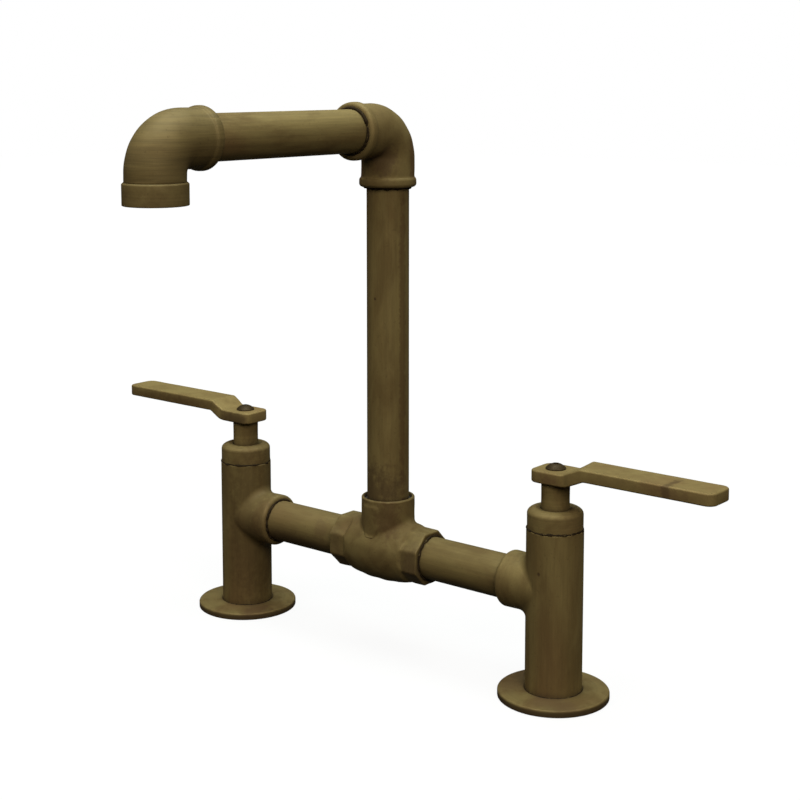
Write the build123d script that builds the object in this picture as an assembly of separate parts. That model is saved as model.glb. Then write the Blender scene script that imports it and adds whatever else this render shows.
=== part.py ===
"""Two-handle bridge kitchen tap in the style of threaded pipework.

Frame: origin on the deck plane, midway between the two pillars. +X runs along the bridge towards the
right-hand (cold) pillar, the spout points to -Y at rest, +Z is up. All lengths are millimetres.

Each pillar is modelled once, about its own axis with its bridge port facing +X. The left pillar is that
set of pieces moved to its place; the right one is the same set turned half round about Z and moved.
"""
from build123d import *
from math import atan2, cos, pi, sqrt, tan
import os

os.makedirs("parts", exist_ok=True)

# ---------------------------------------------------------------- overall layout
VALVE_CENTRES = 203.2      # between the pillar axes, 8 in
BRIDGE_HEIGHT = 52.6       # axis of the bridge above the deck
SPOUT_HEIGHT = 266.05      # axis of the spout pipe above the deck
SPOUT_REACH = 153.9        # riser axis to outlet axis
SAME = 0.01                # two places closer than this are taken as one

# ---------------------------------------------------------------- clearances
THREAD_GAP = 0.04          # radial gap drawn between pieces that screw together
RUNNING_GAP = 0.06         # radial gap of a shaft that turns in its bore
FREE_GAP = 0.3             # between a moving piece and a fixed one that it must clear
DISC_FILM = 0.02           # water film between the two ceramic discs
SEAL_ROOM = 1.35           # width of a seal groove over the thickness of its ring

# ---------------------------------------------------------------- pipe and fittings, 1/2 in
PIPE_OD = 21.31
PIPE_WALL = 2.6
PIPE_ENGAGEMENT = 13.0     # length of pipe screwed into a fitting
FITTING_OD = 26.64         # body of an elbow
BEAD_STANDOUT = 0.93       # how far the bead at an elbow's mouth stands out from its body
BEAD_WIDTH = 5.3
BEAD_EDGE_RADIUS = 1.9
ELBOW_CENTRE_TO_END = 28.3
ELBOW_THROAT_RADIUS = 0.88 # inner corner of the elbow
ELBOW_BORE = 16.4
MOUTH_CHAMFER = 0.9        # lead-in at the mouths of the bosses and the tee
BEAD_CHAMFER = 0.4         # lead-in at the mouths of the elbows

# ---------------------------------------------------------------- pillar
PILLAR_OD = 27.18
PILLAR_HEIGHT = 82.0
BOSS_REACH = 25.9          # pillar axis to the boss's face
BOSS_SETBACK = 0.44        # how much smaller in radius the boss's root is than the pillar
BOSS_FLARE = 0.55          # how much larger in radius the boss's face is than its root
BOSS_EDGE_RADIUS = 2.0
BOSS_ROOT_FILLET = 4.2
INLET_BORE = 18.64         # G1/2 minor diameter
INLET_DEPTH = 16.0
SUPPLY_BORE = 12.0
SEAT_DROP = 11.6           # bridge axis down to the ledge on which the cartridge seals
VALVE_THREAD_LENGTH = 16.0
PORT_BORE = 14.8

# ---------------------------------------------------------------- deck flange
FLANGE_OD = 53.3
FLANGE_THICKNESS = 3.85
FLANGE_RISE = 0.7          # the top face climbs this much from rim to pillar
FLANGE_EDGE_RADIUS = 0.9
FLANGE_FOOT_RADIUS = 0.4
FLANGE_FIT = 0.1
GASKET_OD = 46.0
GASKET_ID = 34.0
GASKET_THICKNESS = 1.6

# ---------------------------------------------------------------- bonnet
BONNET_SETBACK = 0.305     # how much smaller in radius the bonnet is than the pillar
BONNET_HEIGHT = 10.0
BONNET_SHOULDER = 4.0
BONNET_WALL = 2.0
BONNET_ROOF = 3.0
SEAM_CHAMFER = 0.45        # the thin groove where bonnet and pillar meet
BONNET_DISH = 0.5          # depth of the hollow in the bonnet's top

# ---------------------------------------------------------------- valve cartridge
SEAL_HEIGHT = 2.5
SEAL_BORE = 11.0
DISC_OD = 14.9
DISC_THICKNESS = 3.0
DISC_PORT = 4.4            # diameter of each of the two ports
DISC_PORT_RADIUS = 4.6     # from the axis to a port's centre
CARTRIDGE_WALL = 1.7
WATER_ANNULUS = 0.99       # space for water round the cartridge
THREAD_STEP = 0.25         # how much larger in radius the valve's thread is than the chamber
WINDOW_WIDTH = 7.0
WINDOW_HEIGHT = 4.6
CARTRIDGE_HEX_ROOM = 0.89  # between the hexagon's corners and the bonnet's bore
CARTRIDGE_HEX_HEIGHT = 3.4
CARTRIDGE_NECK_WALL = 0.72 # how much larger in radius the cartridge's neck is than the sleeve above
CARTRIDGE_NECK_ROOM = 0.8  # between the cartridge's neck and the bonnet's roof
TANG_WIDTH = 4.0
TANG_DEPTH = 1.2           # depth of the slot that the spindle drives in the disc
WATER_SPACE = 2.6          # height left for water above the moving disc
SPINDLE_COLLAR_OD = 12.0
SPINDLE_COLLAR_HEIGHT = 2.0
SPINDLE_OD = 8.0
SPINDLE_SQUARE = 6.4
ORING_GROOVE = 1.0         # depth of the spindle's seal grooves
ORING_PITCH = 5.0

# ---------------------------------------------------------------- lever
SLEEVE_OD = 13.56          # round neck between bonnet and lever
SLEEVE_EXPOSED = 12.5      # bonnet's top to the underside of the lever's hub
LEVER_THICKNESS = 5.9
LEVER_WIDTH = 18.0
LEVER_RISE = 4.3           # step up from hub to grip
HUB_OVERHANG = 9.7         # pillar axis to the hub's inner end
STEP_START = 10.6          # pillar axis to the foot of the step
STEP_END = 17.6
LEVER_REACH = 86.0         # pillar axis to the tip
LEVER_CORNER_RADIUS = 4.4
LEVER_EDGE_RADIUS = 0.8
LEVER_BEND_RADIUS = 2.2
HUB_SOCKET_DEPTH = 3.7     # how far the spindle's square enters the hub

# ---------------------------------------------------------------- lever screw
SCREW_OD = 4.0
SCREW_LENGTH = 10.0
SCREW_HEAD_OD = 9.6
SCREW_HEAD_HEIGHT = 2.8
SCREW_HEX = 2.5
SCREW_HEX_DEPTH = 1.5

# ---------------------------------------------------------------- bridge tee
TEE_CENTRE_TO_END = 28.45
TEE_BULGE_OD = 32.8
TEE_COLLAR_FLATS = 26.4    # across the flats
TEE_COLLAR_SIDES = 8
TEE_COLLAR_WIDTH = 9.6
TEE_COLLAR_RUNOUT = 2.2    # length over which the flats run out into the body
RUNOUT_SLOPE = 42.0        # degrees
TEE_CORNER_RADIUS = 2.0
TEE_SOCKET_OD = 27.16
TEE_SOCKET_REACH = 27.3    # bridge axis up to the socket's rim
TEE_BORE = 17.0
TEE_SOCKET_FILLET = 3.0
TEE_RIM_CHAMFER = 0.8
TEE_END_RADIUS = 1.0

# ---------------------------------------------------------------- spout swivel
RISER_DEPTH = 20.9         # tee's rim down to the lower end of the riser
BUSH_WALL = 0.95
BUSH_DEPTH = 11.9          # tee's rim down to the lower end of the bush
BUSH_TOP_RECESS = 1.6
SWIVEL_GROOVE = 1.5
SWIVEL_SEAL_PITCH = 4.0
RETAINER_DEPTH = 6.9       # tee's rim down to the axis of the retaining screw
RETAINER_OD = 4.0
RETAINER_GROOVE_DEPTH = 1.2
RETAINER_PLAY = 0.4        # between the retaining screw and each side of its groove
RETAINER_HEX = 2.0
RETAINER_HEX_DEPTH = 2.0
RETAINER_RECESS = 0.25

# ---------------------------------------------------------------- outlet and aerator
OUTLET_OD = 28.57
OUTLET_HEIGHT = 9.8
OUTLET_LEG = 17.75         # spout axis down to the ring's top
OUTLET_EDGE = 0.7
SPIGOT_OD = 23.8
SPIGOT_LENGTH = 2.8
SPIGOT_STEP = 0.9          # how much smaller in radius the aerator's chamber is than the spigot
OUTLET_MOUTH_LENGTH = 2.4
OUTLET_LEDGE = 0.8         # width of the ledge on which the aerator stands
AERATOR_WALL = 1.3
AERATOR_LIP = 1.3          # width of the housing's lip under the screen
WASHER_THICKNESS = 1.0
SCREEN_THICKNESS = 0.6
SCREEN_HOLE = 1.3
SCREEN_PITCH = 2.2
RESTRICTOR_THICKNESS = 1.4
RESTRICTOR_HOLE = 2.0
RESTRICTOR_HOLES = 6
RESTRICTOR_RING_R = 4.8    # from the axis to the centre of each hole

# ---------------------------------------------------------------- sizes that follow from those above
PIPE_R = PIPE_OD / 2
SOCKET_R = PIPE_R + THREAD_GAP
PIPE_BORE_R = PIPE_R - PIPE_WALL
BEAD_OD = FITTING_OD + 2 * BEAD_STANDOUT
ELBOW_BEND_RADIUS = FITTING_OD / 2 + ELBOW_THROAT_RADIUS
BOSS_ROOT_R = PILLAR_OD / 2 - BOSS_SETBACK
BOSS_FACE_R = BOSS_ROOT_R + BOSS_FLARE
BONNET_OD = PILLAR_OD - 2 * BONNET_SETBACK
BONNET_BORE = BONNET_OD - 2 * BONNET_WALL
BONNET_TOP = PILLAR_HEIGHT + BONNET_HEIGHT
BONNET_CEILING = BONNET_TOP - BONNET_ROOF
SLEEVE_FOOT = BONNET_CEILING + FREE_GAP
LEVER_UNDERSIDE = BONNET_TOP + SLEEVE_EXPOSED
LEVER_TOP = LEVER_UNDERSIDE + LEVER_THICKNESS
SEAT_HEIGHT = BRIDGE_HEIGHT - SEAT_DROP
FIXED_DISC_FOOT = SEAT_HEIGHT + SEAL_HEIGHT
MOVING_DISC_FOOT = FIXED_DISC_FOOT + DISC_THICKNESS + DISC_FILM
MOVING_DISC_TOP = MOVING_DISC_FOOT + DISC_THICKNESS
COLLAR_FOOT = MOVING_DISC_TOP + WATER_SPACE
COLLAR_TOP = COLLAR_FOOT + SPINDLE_COLLAR_HEIGHT
CARTRIDGE_FOOT = SEAT_HEIGHT + FREE_GAP
CARTRIDGE_TOP = BONNET_CEILING - CARTRIDGE_NECK_ROOM
CARTRIDGE_NECK_OD = SLEEVE_OD + 2 * CARTRIDGE_NECK_WALL
CARTRIDGE_HEX = (BONNET_BORE - 2 * CARTRIDGE_HEX_ROOM) * cos(pi / 6)
DISC_BORE_R = DISC_OD / 2 + RUNNING_GAP
CARTRIDGE_R = DISC_BORE_R + CARTRIDGE_WALL
CHAMBER_R = CARTRIDGE_R + WATER_ANNULUS
VALVE_THREAD_R = CHAMBER_R + THREAD_STEP
THREAD_FOOT = PILLAR_HEIGHT - VALVE_THREAD_LENGTH
SPINDLE_R = SPINDLE_OD / 2
SWIVEL_BORE_R = PIPE_R + RUNNING_GAP
BUSH_R = SWIVEL_BORE_R + BUSH_WALL
TEE_TOP = BRIDGE_HEIGHT + TEE_SOCKET_REACH
RISER_FOOT = TEE_TOP - RISER_DEPTH
BUSH_FOOT = TEE_TOP - BUSH_DEPTH
RETAINER_HEIGHT = TEE_TOP - RETAINER_DEPTH
OUTLET_TOP = SPOUT_HEIGHT - OUTLET_LEG
OUTLET_FOOT = OUTLET_TOP - OUTLET_HEIGHT
OUTLET_SEAT = OUTLET_TOP - SPIGOT_LENGTH
AERATOR_BORE = SPIGOT_OD - 2 * SPIGOT_STEP
AERATOR_OD = AERATOR_BORE - 2 * THREAD_GAP
AERATOR_FOOT = OUTLET_FOOT + OUTLET_MOUTH_LENGTH
AERATOR_TOP = OUTLET_SEAT - WASHER_THICKNESS
AERATOR_INSIDE_R = AERATOR_OD / 2 - AERATOR_WALL


# ---------------------------------------------------------------- helpers
def tube(od, bore, foot, top):
    """Upright tube, or a solid bar where bore is 0."""
    shape = rod(od, foot, top)
    return shape - rod(bore, foot, top) if bore else shape


def rod(od, foot, top):
    """Upright round bar between two heights."""
    return Pos(0, 0, foot) * Cylinder(od / 2, top - foot, align=(Align.CENTER, Align.CENTER, Align.MIN))


def along_x(shape, height=BRIDGE_HEIGHT):
    """Lays an upright shape down so that its axis runs along +X at the given height."""
    return Pos(0, 0, height) * Rot(0, 90, 0) * shape


def along_y(shape, height):
    """Lays an upright shape down so that its axis runs along -Y at the given height."""
    return Pos(0, 0, height) * Rot(90, 0, 0) * shape


def turned(points):
    """Solid of revolution about Z from (radius, height) points."""
    return revolve(make_face(Polyline(*[(r, 0, z) for r, z in points], close=True)), Axis.Z)


def o_ring(inner_r, outer_r, height):
    """Round rubber ring that fills the space from inner_r to outer_r."""
    section = (outer_r - inner_r) / 2
    return Pos(0, 0, height) * Torus(inner_r + section, section)


def groove(shaft_r, floor_r, centre, width):
    """Ring to be cut round a shaft, centred on a height."""
    return tube(3 * shaft_r, 2 * floor_r, centre - width / 2, centre + width / 2)


def hexagon_bar(across_flats, foot, top):
    """Upright hexagonal bar."""
    face = RegularPolygon(across_flats / 2, 6, major_radius=False)
    return Pos(0, 0, foot) * extrude(face, top - foot)


def edges_at(shape, height, radius):
    """Circular edges of a shape at one height and of one radius, about Z."""
    found = [e for e in shape.edges().filter_by(GeomType.CIRCLE)
             if abs(e.arc_center.Z - height) < SAME and abs(e.radius - radius) < SAME]
    return ShapeList(found)


def save(name, shape):
    """Writes one named piece."""
    shape.label = name
    export_step(shape, f"parts/{name}.step")


# ---------------------------------------------------------------- pillar pieces, about the pillar's axis
def pillar():
    """Cast and turned pillar: supply bore below, cartridge chamber above, boss for the bridge pipe."""
    body = rod(PILLAR_OD, 0, PILLAR_HEIGHT)
    body = chamfer(edges_at(body, PILLAR_HEIGHT, PILLAR_OD / 2), SEAM_CHAMFER)
    boss = turned([(0, 0), (BOSS_ROOT_R, 0), (BOSS_FACE_R, BOSS_REACH), (0, BOSS_REACH)])
    boss = fillet(edges_at(boss, BOSS_REACH, BOSS_FACE_R), BOSS_EDGE_RADIUS)
    joined = body + along_x(boss)
    meeting = [e for e in joined.edges()
               if e.geom_type not in (GeomType.CIRCLE, GeomType.LINE) and e.center().X > 0]
    joined = fillet(meeting, BOSS_ROOT_FILLET)
    socket = rod(2 * SOCKET_R, BOSS_REACH - PIPE_ENGAGEMENT, BOSS_REACH)
    socket += Pos(0, 0, BOSS_REACH - MOUTH_CHAMFER) * Cone(
        SOCKET_R, SOCKET_R + MOUTH_CHAMFER, MOUTH_CHAMFER, align=(Align.CENTER, Align.CENTER, Align.MIN))
    joined -= along_x(socket)
    joined -= along_x(rod(PORT_BORE, 0, BOSS_REACH))
    joined -= rod(INLET_BORE, 0, INLET_DEPTH)
    joined -= rod(SUPPLY_BORE, 0, PILLAR_HEIGHT)
    joined -= rod(2 * CHAMBER_R, SEAT_HEIGHT, PILLAR_HEIGHT)
    return joined - rod(2 * (VALVE_THREAD_R + THREAD_GAP), THREAD_FOOT, PILLAR_HEIGHT)


def base_flange():
    """Round cover flange with a slightly coned top and a groove for the gasket below."""
    bore_r = PILLAR_OD / 2 + FLANGE_FIT
    rim_r = FLANGE_OD / 2
    body = turned([(bore_r, 0), (rim_r, 0), (rim_r, FLANGE_THICKNESS - FLANGE_RISE),
                   (bore_r, FLANGE_THICKNESS)])
    body = fillet(edges_at(body, FLANGE_THICKNESS - FLANGE_RISE, rim_r), FLANGE_EDGE_RADIUS)
    body = fillet(edges_at(body, 0, rim_r), FLANGE_FOOT_RADIUS)
    return body - tube(GASKET_OD, GASKET_ID, 0, GASKET_THICKNESS)


def deck_gasket():
    """Flat rubber ring, flush with the flange's underside."""
    return tube(GASKET_OD - 2 * THREAD_GAP, GASKET_ID + 2 * THREAD_GAP, 0, GASKET_THICKNESS)


def bonnet():
    """Domed cover nut on top of the pillar, screwed to the cartridge's neck."""
    body = rod(BONNET_OD, PILLAR_HEIGHT, BONNET_TOP)
    body = fillet(edges_at(body, BONNET_TOP, BONNET_OD / 2), BONNET_SHOULDER)
    body = chamfer(edges_at(body, PILLAR_HEIGHT, BONNET_OD / 2), SEAM_CHAMFER)
    dish_r = BONNET_OD / 2 - BONNET_SHOULDER
    hole_r = SLEEVE_OD / 2 + FREE_GAP
    body -= Pos(0, 0, BONNET_TOP - BONNET_DISH) * Cone(
        hole_r, dish_r, BONNET_DISH, align=(Align.CENTER, Align.CENTER, Align.MIN))
    body -= rod(BONNET_BORE, PILLAR_HEIGHT, PILLAR_HEIGHT + CARTRIDGE_HEX_HEIGHT + FREE_GAP)
    body -= rod(CARTRIDGE_NECK_OD + 2 * THREAD_GAP, PILLAR_HEIGHT, BONNET_CEILING)
    return body - rod(2 * hole_r, BONNET_CEILING, BONNET_TOP)


def cartridge_body():
    """Brass valve body: water windows low down, thread, hexagon, and the neck that the bonnet screws on."""
    body = rod(2 * CARTRIDGE_R, CARTRIDGE_FOOT, THREAD_FOOT)
    body += rod(2 * VALVE_THREAD_R, THREAD_FOOT, PILLAR_HEIGHT)
    body += hexagon_bar(CARTRIDGE_HEX, PILLAR_HEIGHT, PILLAR_HEIGHT + CARTRIDGE_HEX_HEIGHT)
    body += rod(CARTRIDGE_NECK_OD, PILLAR_HEIGHT, CARTRIDGE_TOP)
    body -= rod(2 * DISC_BORE_R, CARTRIDGE_FOOT, COLLAR_TOP + RUNNING_GAP)
    body -= rod(SPINDLE_OD + 2 * RUNNING_GAP, CARTRIDGE_FOOT, CARTRIDGE_TOP)
    window_foot = MOVING_DISC_TOP - WINDOW_HEIGHT / 2
    for turn in (0, 90):
        slot = tang(WINDOW_WIDTH, PILLAR_OD, window_foot, window_foot + WINDOW_HEIGHT)
        body -= Rot(0, 0, turn) * slot
    return body


def seat_seal():
    """Rubber ring that presses the fixed disc up from the pillar's ledge."""
    return tube(DISC_OD, SEAL_BORE, SEAT_HEIGHT, FIXED_DISC_FOOT)


def valve_disc(foot, turn):
    """Ceramic disc with two opposite round ports, turned about the axis."""
    disc = rod(DISC_OD, foot, foot + DISC_THICKNESS)
    for side in (0, 180):
        port = Pos(DISC_PORT_RADIUS, 0, 0) * rod(DISC_PORT, foot, foot + DISC_THICKNESS)
        disc -= Rot(0, 0, turn + side) * port
    return disc


def tang(width, length, foot, top):
    """Flat driving bar across the axis."""
    return Pos(0, 0, foot) * Box(length, width, top - foot, align=(Align.CENTER, Align.CENTER, Align.MIN))


def moving_disc():
    """Upper disc. Its ports stand a quarter turn from the fixed ones, so the valve is shut at rest."""
    disc = valve_disc(MOVING_DISC_FOOT, 90)
    slot_length = SPINDLE_COLLAR_OD + 2 * THREAD_GAP
    return disc - tang(TANG_WIDTH + 2 * THREAD_GAP, slot_length, MOVING_DISC_TOP - TANG_DEPTH, MOVING_DISC_TOP)


def spindle():
    """Turning stem: driving bar, thrust collar, two seal grooves, square end and tapped hole."""
    square_foot = LEVER_UNDERSIDE - HUB_SOCKET_DEPTH
    top = LEVER_UNDERSIDE + HUB_SOCKET_DEPTH
    body = tang(TANG_WIDTH, SPINDLE_COLLAR_OD, MOVING_DISC_TOP - TANG_DEPTH, COLLAR_FOOT)
    body &= rod(SPINDLE_COLLAR_OD, MOVING_DISC_TOP - TANG_DEPTH, COLLAR_FOOT)
    body += rod(SPINDLE_COLLAR_OD, COLLAR_FOOT, COLLAR_TOP)
    body += rod(SPINDLE_OD, COLLAR_TOP, square_foot)
    square = tang(SPINDLE_SQUARE, SPINDLE_SQUARE, square_foot, top)
    body += square & rod(SPINDLE_OD, square_foot, top)
    for height in seal_heights():
        body -= groove(SPINDLE_R, SPINDLE_R - ORING_GROOVE, height, SEAL_ROOM * ORING_GROOVE)
    bottom_of_hole = LEVER_TOP - SCREW_LENGTH - 2 * THREAD_GAP
    return body - rod(SCREW_OD + 2 * THREAD_GAP, bottom_of_hole, top)


def seal_heights():
    """Heights of the spindle's two rubber rings."""
    first = COLLAR_TOP + ORING_PITCH
    return [first, first + ORING_PITCH]


def spindle_seals():
    """The two rubber rings in the spindle's grooves."""
    rings = [o_ring(SPINDLE_R - ORING_GROOVE, SPINDLE_R + RUNNING_GAP / 2, z) for z in seal_heights()]
    return Compound(children=rings)


def stem_sleeve():
    """Round neck that turns with the lever and hides the spindle."""
    return tube(SLEEVE_OD, SPINDLE_OD + 2 * RUNNING_GAP, SLEEVE_FOOT, LEVER_UNDERSIDE)


def lever():
    """Flat bar lever with a stepped hub, pointing to -X, square socket below and screw hole above."""
    top, under = LEVER_TOP, LEVER_UNDERSIDE
    bend_shift = LEVER_THICKNESS * tan(atan2(LEVER_RISE, STEP_END - STEP_START) / 2)
    outline = [
        (HUB_OVERHANG, under), (HUB_OVERHANG, top), (-STEP_START, top), (-STEP_END, top + LEVER_RISE),
        (-LEVER_REACH, top + LEVER_RISE), (-LEVER_REACH, under + LEVER_RISE),
        (-STEP_END - bend_shift, under + LEVER_RISE), (-STEP_START - bend_shift, under),
    ]
    side = make_face(Polyline(*[(x, 0, z) for x, z in outline], close=True))
    bar = extrude(side, LEVER_WIDTH / 2, dir=(0, 1, 0), both=True)
    bends = [e for e in bar.edges().filter_by(Axis.Y) if not at_lever_end(e)]
    bar = fillet(bends, LEVER_BEND_RADIUS)
    corners = bar.edges().filter_by(Axis.Z)
    bar = fillet(corners, LEVER_CORNER_RADIUS)
    uprights = bar.edges().filter_by(Axis.Z)
    rims = [e for e in bar.edges() if e not in uprights and lies_on_rim(e)]
    bar = fillet(rims, LEVER_EDGE_RADIUS)
    socket = SPINDLE_SQUARE + 2 * THREAD_GAP
    bar -= tang(socket, socket, under, under + HUB_SOCKET_DEPTH + THREAD_GAP)
    return bar - rod(SCREW_OD + 2 * RUNNING_GAP, under, top)


def at_lever_end(edge):
    """True for an edge of the lever that lies in its tip's or its hub's end face."""
    x = edge.center().X
    return abs(x - HUB_OVERHANG) < SAME or abs(x + LEVER_REACH) < SAME


def lies_on_rim(edge):
    """True for an edge of the lever, other than an upright one, that bounds its upper or lower face."""
    straight = edge.geom_type == GeomType.LINE
    on_side = abs(abs(edge.center().Y) - LEVER_WIDTH / 2) < SAME
    return on_side or not straight or at_lever_end(edge)


def lever_screw():
    """Button-head screw with a hexagon socket."""
    head_r = SCREW_HEAD_OD / 2
    dome_r = (head_r ** 2 + SCREW_HEAD_HEIGHT ** 2) / (2 * SCREW_HEAD_HEIGHT)
    head = rod(SCREW_HEAD_OD, LEVER_TOP, LEVER_TOP + SCREW_HEAD_HEIGHT)
    head &= Pos(0, 0, LEVER_TOP + SCREW_HEAD_HEIGHT - dome_r) * Sphere(dome_r)
    head -= hexagon_bar(SCREW_HEX, LEVER_TOP + SCREW_HEAD_HEIGHT - SCREW_HEX_DEPTH, LEVER_TOP + SCREW_HEAD_HEIGHT)
    return head + rod(SCREW_OD, LEVER_TOP - SCREW_LENGTH, LEVER_TOP)


def bridge_pipe():
    """Pipe from the boss to the tee, both ends screwed in."""
    start = BOSS_REACH - PIPE_ENGAGEMENT
    end = VALVE_CENTRES / 2 - TEE_CENTRE_TO_END + PIPE_ENGAGEMENT
    return along_x(tube(PIPE_OD, 2 * PIPE_BORE_R, start, end))


# ---------------------------------------------------------------- centre pieces
def bridge_tee():
    """Cast tee: bulged body, eight-sided collars on the run, round socket for the spout on top."""
    end, corner_r = TEE_CENTRE_TO_END, TEE_COLLAR_FLATS / 2 / cos(pi / TEE_COLLAR_SIDES)
    inner = end - TEE_COLLAR_WIDTH
    outline = [
        Line((0, 0, -end), (corner_r, 0, -end)), Line((corner_r, 0, -end), (corner_r, 0, -inner)),
        ThreePointArc((corner_r, 0, -inner), (TEE_BULGE_OD / 2, 0, 0), (corner_r, 0, inner)),
        Line((corner_r, 0, inner), (corner_r, 0, end)), Line((corner_r, 0, end), (0, 0, end)),
        Line((0, 0, end), (0, 0, -end)),
    ]
    body = revolve(make_face(Wire(outline)), Axis.Z)
    body = fillet(edges_at(body, end, corner_r) + edges_at(body, -end, corner_r), TEE_END_RADIUS)
    for turn in (0, 180):
        body -= Rot(turn, 0, 0) * collar_waste(end, inner)
    body = along_x(body)
    socket = rod(TEE_SOCKET_OD, BRIDGE_HEIGHT, TEE_TOP)
    joined = body + socket
    meeting = [e for e in joined.edges() if e.geom_type not in (GeomType.CIRCLE, GeomType.LINE)
               and e.center().Z > BRIDGE_HEIGHT and abs(e.center().X) < TEE_SOCKET_OD / 2]
    joined = fillet(meeting, TEE_SOCKET_FILLET)
    joined = chamfer(edges_at(joined, TEE_TOP, TEE_SOCKET_OD / 2), TEE_RIM_CHAMFER)
    for turn in (0, 180):
        socket = rod(2 * SOCKET_R, end - PIPE_ENGAGEMENT, end)
        socket += Pos(0, 0, end - MOUTH_CHAMFER) * Cone(
            SOCKET_R, SOCKET_R + MOUTH_CHAMFER, MOUTH_CHAMFER, align=(Align.CENTER, Align.CENTER, Align.MIN))
        joined -= Rot(0, 0, turn) * along_x(socket + rod(TEE_BORE, 0, end))
    joined -= rod(TEE_BORE, BRIDGE_HEIGHT, TEE_TOP)
    joined -= rod(2 * SWIVEL_BORE_R, RISER_FOOT - RUNNING_GAP, TEE_TOP)
    joined -= rod(2 * BUSH_R, BUSH_FOOT, TEE_TOP)
    joined -= Pos(0, 0, TEE_TOP - MOUTH_CHAMFER) * Cone(
        BUSH_R, BUSH_R + TEE_RIM_CHAMFER, MOUTH_CHAMFER, align=(Align.CENTER, Align.CENTER, Align.MIN))
    return joined - retainer_hole(RETAINER_OD + 2 * THREAD_GAP)


def collar_waste(end, inner):
    """What is cut from the upper end of the tee's run to leave an eight-sided collar with soft corners."""
    flats = RegularPolygon(TEE_COLLAR_FLATS / 2, TEE_COLLAR_SIDES, major_radius=False,
                           rotation=180 / TEE_COLLAR_SIDES)
    flats = fillet(flats.vertices(), TEE_CORNER_RADIUS)
    collar = Pos(0, 0, inner) * extrude(flats, end - inner)
    run_out = Pos(0, 0, inner) * extrude(flats, -TEE_COLLAR_RUNOUT, taper=-RUNOUT_SLOPE)
    return tube(2 * TEE_BULGE_OD, 0, inner - TEE_COLLAR_RUNOUT, end) - collar - run_out


def retainer_hole(diameter):
    """Round bar from the riser's axis out through the back of the tee's socket."""
    return Pos(0, 0, RETAINER_HEIGHT) * Rot(-90, 0, 0) * Cylinder(
        diameter / 2, TEE_SOCKET_OD, align=(Align.CENTER, Align.CENTER, Align.MIN))


def swivel_bush():
    """Plain plastic bush in which the riser turns."""
    body = tube(2 * BUSH_R, 2 * SWIVEL_BORE_R, BUSH_FOOT, TEE_TOP - BUSH_TOP_RECESS)
    return body - retainer_hole(RETAINER_OD + 2 * RUNNING_GAP)


def spout_retainer():
    """Grub screw whose tip rides in the riser's groove, so that the spout turns but can't lift out."""
    tip = PIPE_R - RETAINER_GROOVE_DEPTH + FREE_GAP
    outer = TEE_SOCKET_OD / 2 - RETAINER_RECESS
    body = rod(RETAINER_OD, tip, outer)
    body -= hexagon_bar(RETAINER_HEX, outer - RETAINER_HEX_DEPTH, outer)
    return Pos(0, 0, RETAINER_HEIGHT) * Rot(-90, 0, 0) * body


# ---------------------------------------------------------------- spout pieces
def elbow(lower_end):
    """Elbow with legs towards -Y and -Z, meeting at the origin. lower_end is the end of the lower leg."""
    def run(diameter):
        bend_r, section = ELBOW_BEND_RADIUS, Circle(diameter / 2)
        level = Pos(0, -bend_r, 0) * Rot(90, 0, 0) * extrude(section, ELBOW_CENTRE_TO_END - bend_r)
        upright = Pos(0, 0, -bend_r) * extrude(section, bend_r - lower_end)
        corner = Axis((0, -bend_r, -bend_r), (1, 0, 0))
        bend = revolve(Pos(0, -bend_r, 0) * Rot(90, 0, 0) * section, corner, -90)
        return level + bend + upright
    return run(FITTING_OD) - run(ELBOW_BORE)


def bead():
    """Rounded band round the mouth of a socket, on an upright leg whose mouth is at height 0, with its socket."""
    body = rod(BEAD_OD, 0, BEAD_WIDTH)
    return fillet(edges_at(body, 0, BEAD_OD / 2) + edges_at(body, BEAD_WIDTH, BEAD_OD / 2), BEAD_EDGE_RADIUS)


def pipe_socket():
    """Space that a pipe fills when it is screwed in from below, with the mouth at height 0."""
    mouth = Cone(SOCKET_R + BEAD_CHAMFER, SOCKET_R, BEAD_CHAMFER, align=(Align.CENTER, Align.CENTER, Align.MIN))
    return rod(2 * SOCKET_R, 0, PIPE_ENGAGEMENT) + mouth


def beaded_mouth(body, place):
    """Adds a bead to a leg and opens its socket; place carries the upright mouth to the leg's end."""
    bead_ring = bead() - rod(ELBOW_BORE, 0, BEAD_WIDTH)
    return body + place * bead_ring - place * pipe_socket()


def rear_elbow():
    """Elbow on top of the riser."""
    end = ELBOW_CENTRE_TO_END
    body = elbow(end)
    body = beaded_mouth(body, Pos(0, 0, -end))
    body = beaded_mouth(body, Pos(0, -end, 0) * Rot(-90, 0, 0))
    return Pos(0, 0, SPOUT_HEIGHT) * body


def front_elbow():
    """Elbow at the spout's end. Its lower leg ends in a spigot that the outlet ring screws on."""
    body = elbow(OUTLET_LEG)
    spigot = tube(SPIGOT_OD, ELBOW_BORE, -OUTLET_LEG - SPIGOT_LENGTH, -OUTLET_LEG)
    body = beaded_mouth(body + spigot, Pos(0, -ELBOW_CENTRE_TO_END, 0) * Rot(-90, 0, 0))
    return Pos(0, -SPOUT_REACH, SPOUT_HEIGHT) * Rot(0, 0, 180) * body


def riser_pipe():
    """Upright pipe from the swivel to the rear elbow, with seal and retainer grooves."""
    top = SPOUT_HEIGHT - ELBOW_CENTRE_TO_END + PIPE_ENGAGEMENT
    body = tube(PIPE_OD, 2 * PIPE_BORE_R, RISER_FOOT, top)
    for height in swivel_seal_heights():
        body -= groove(PIPE_R, PIPE_R - SWIVEL_GROOVE, height, SEAL_ROOM * SWIVEL_GROOVE)
    width = RETAINER_OD + 2 * RETAINER_PLAY
    return body - groove(PIPE_R, PIPE_R - RETAINER_GROOVE_DEPTH, RETAINER_HEIGHT, width)


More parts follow.
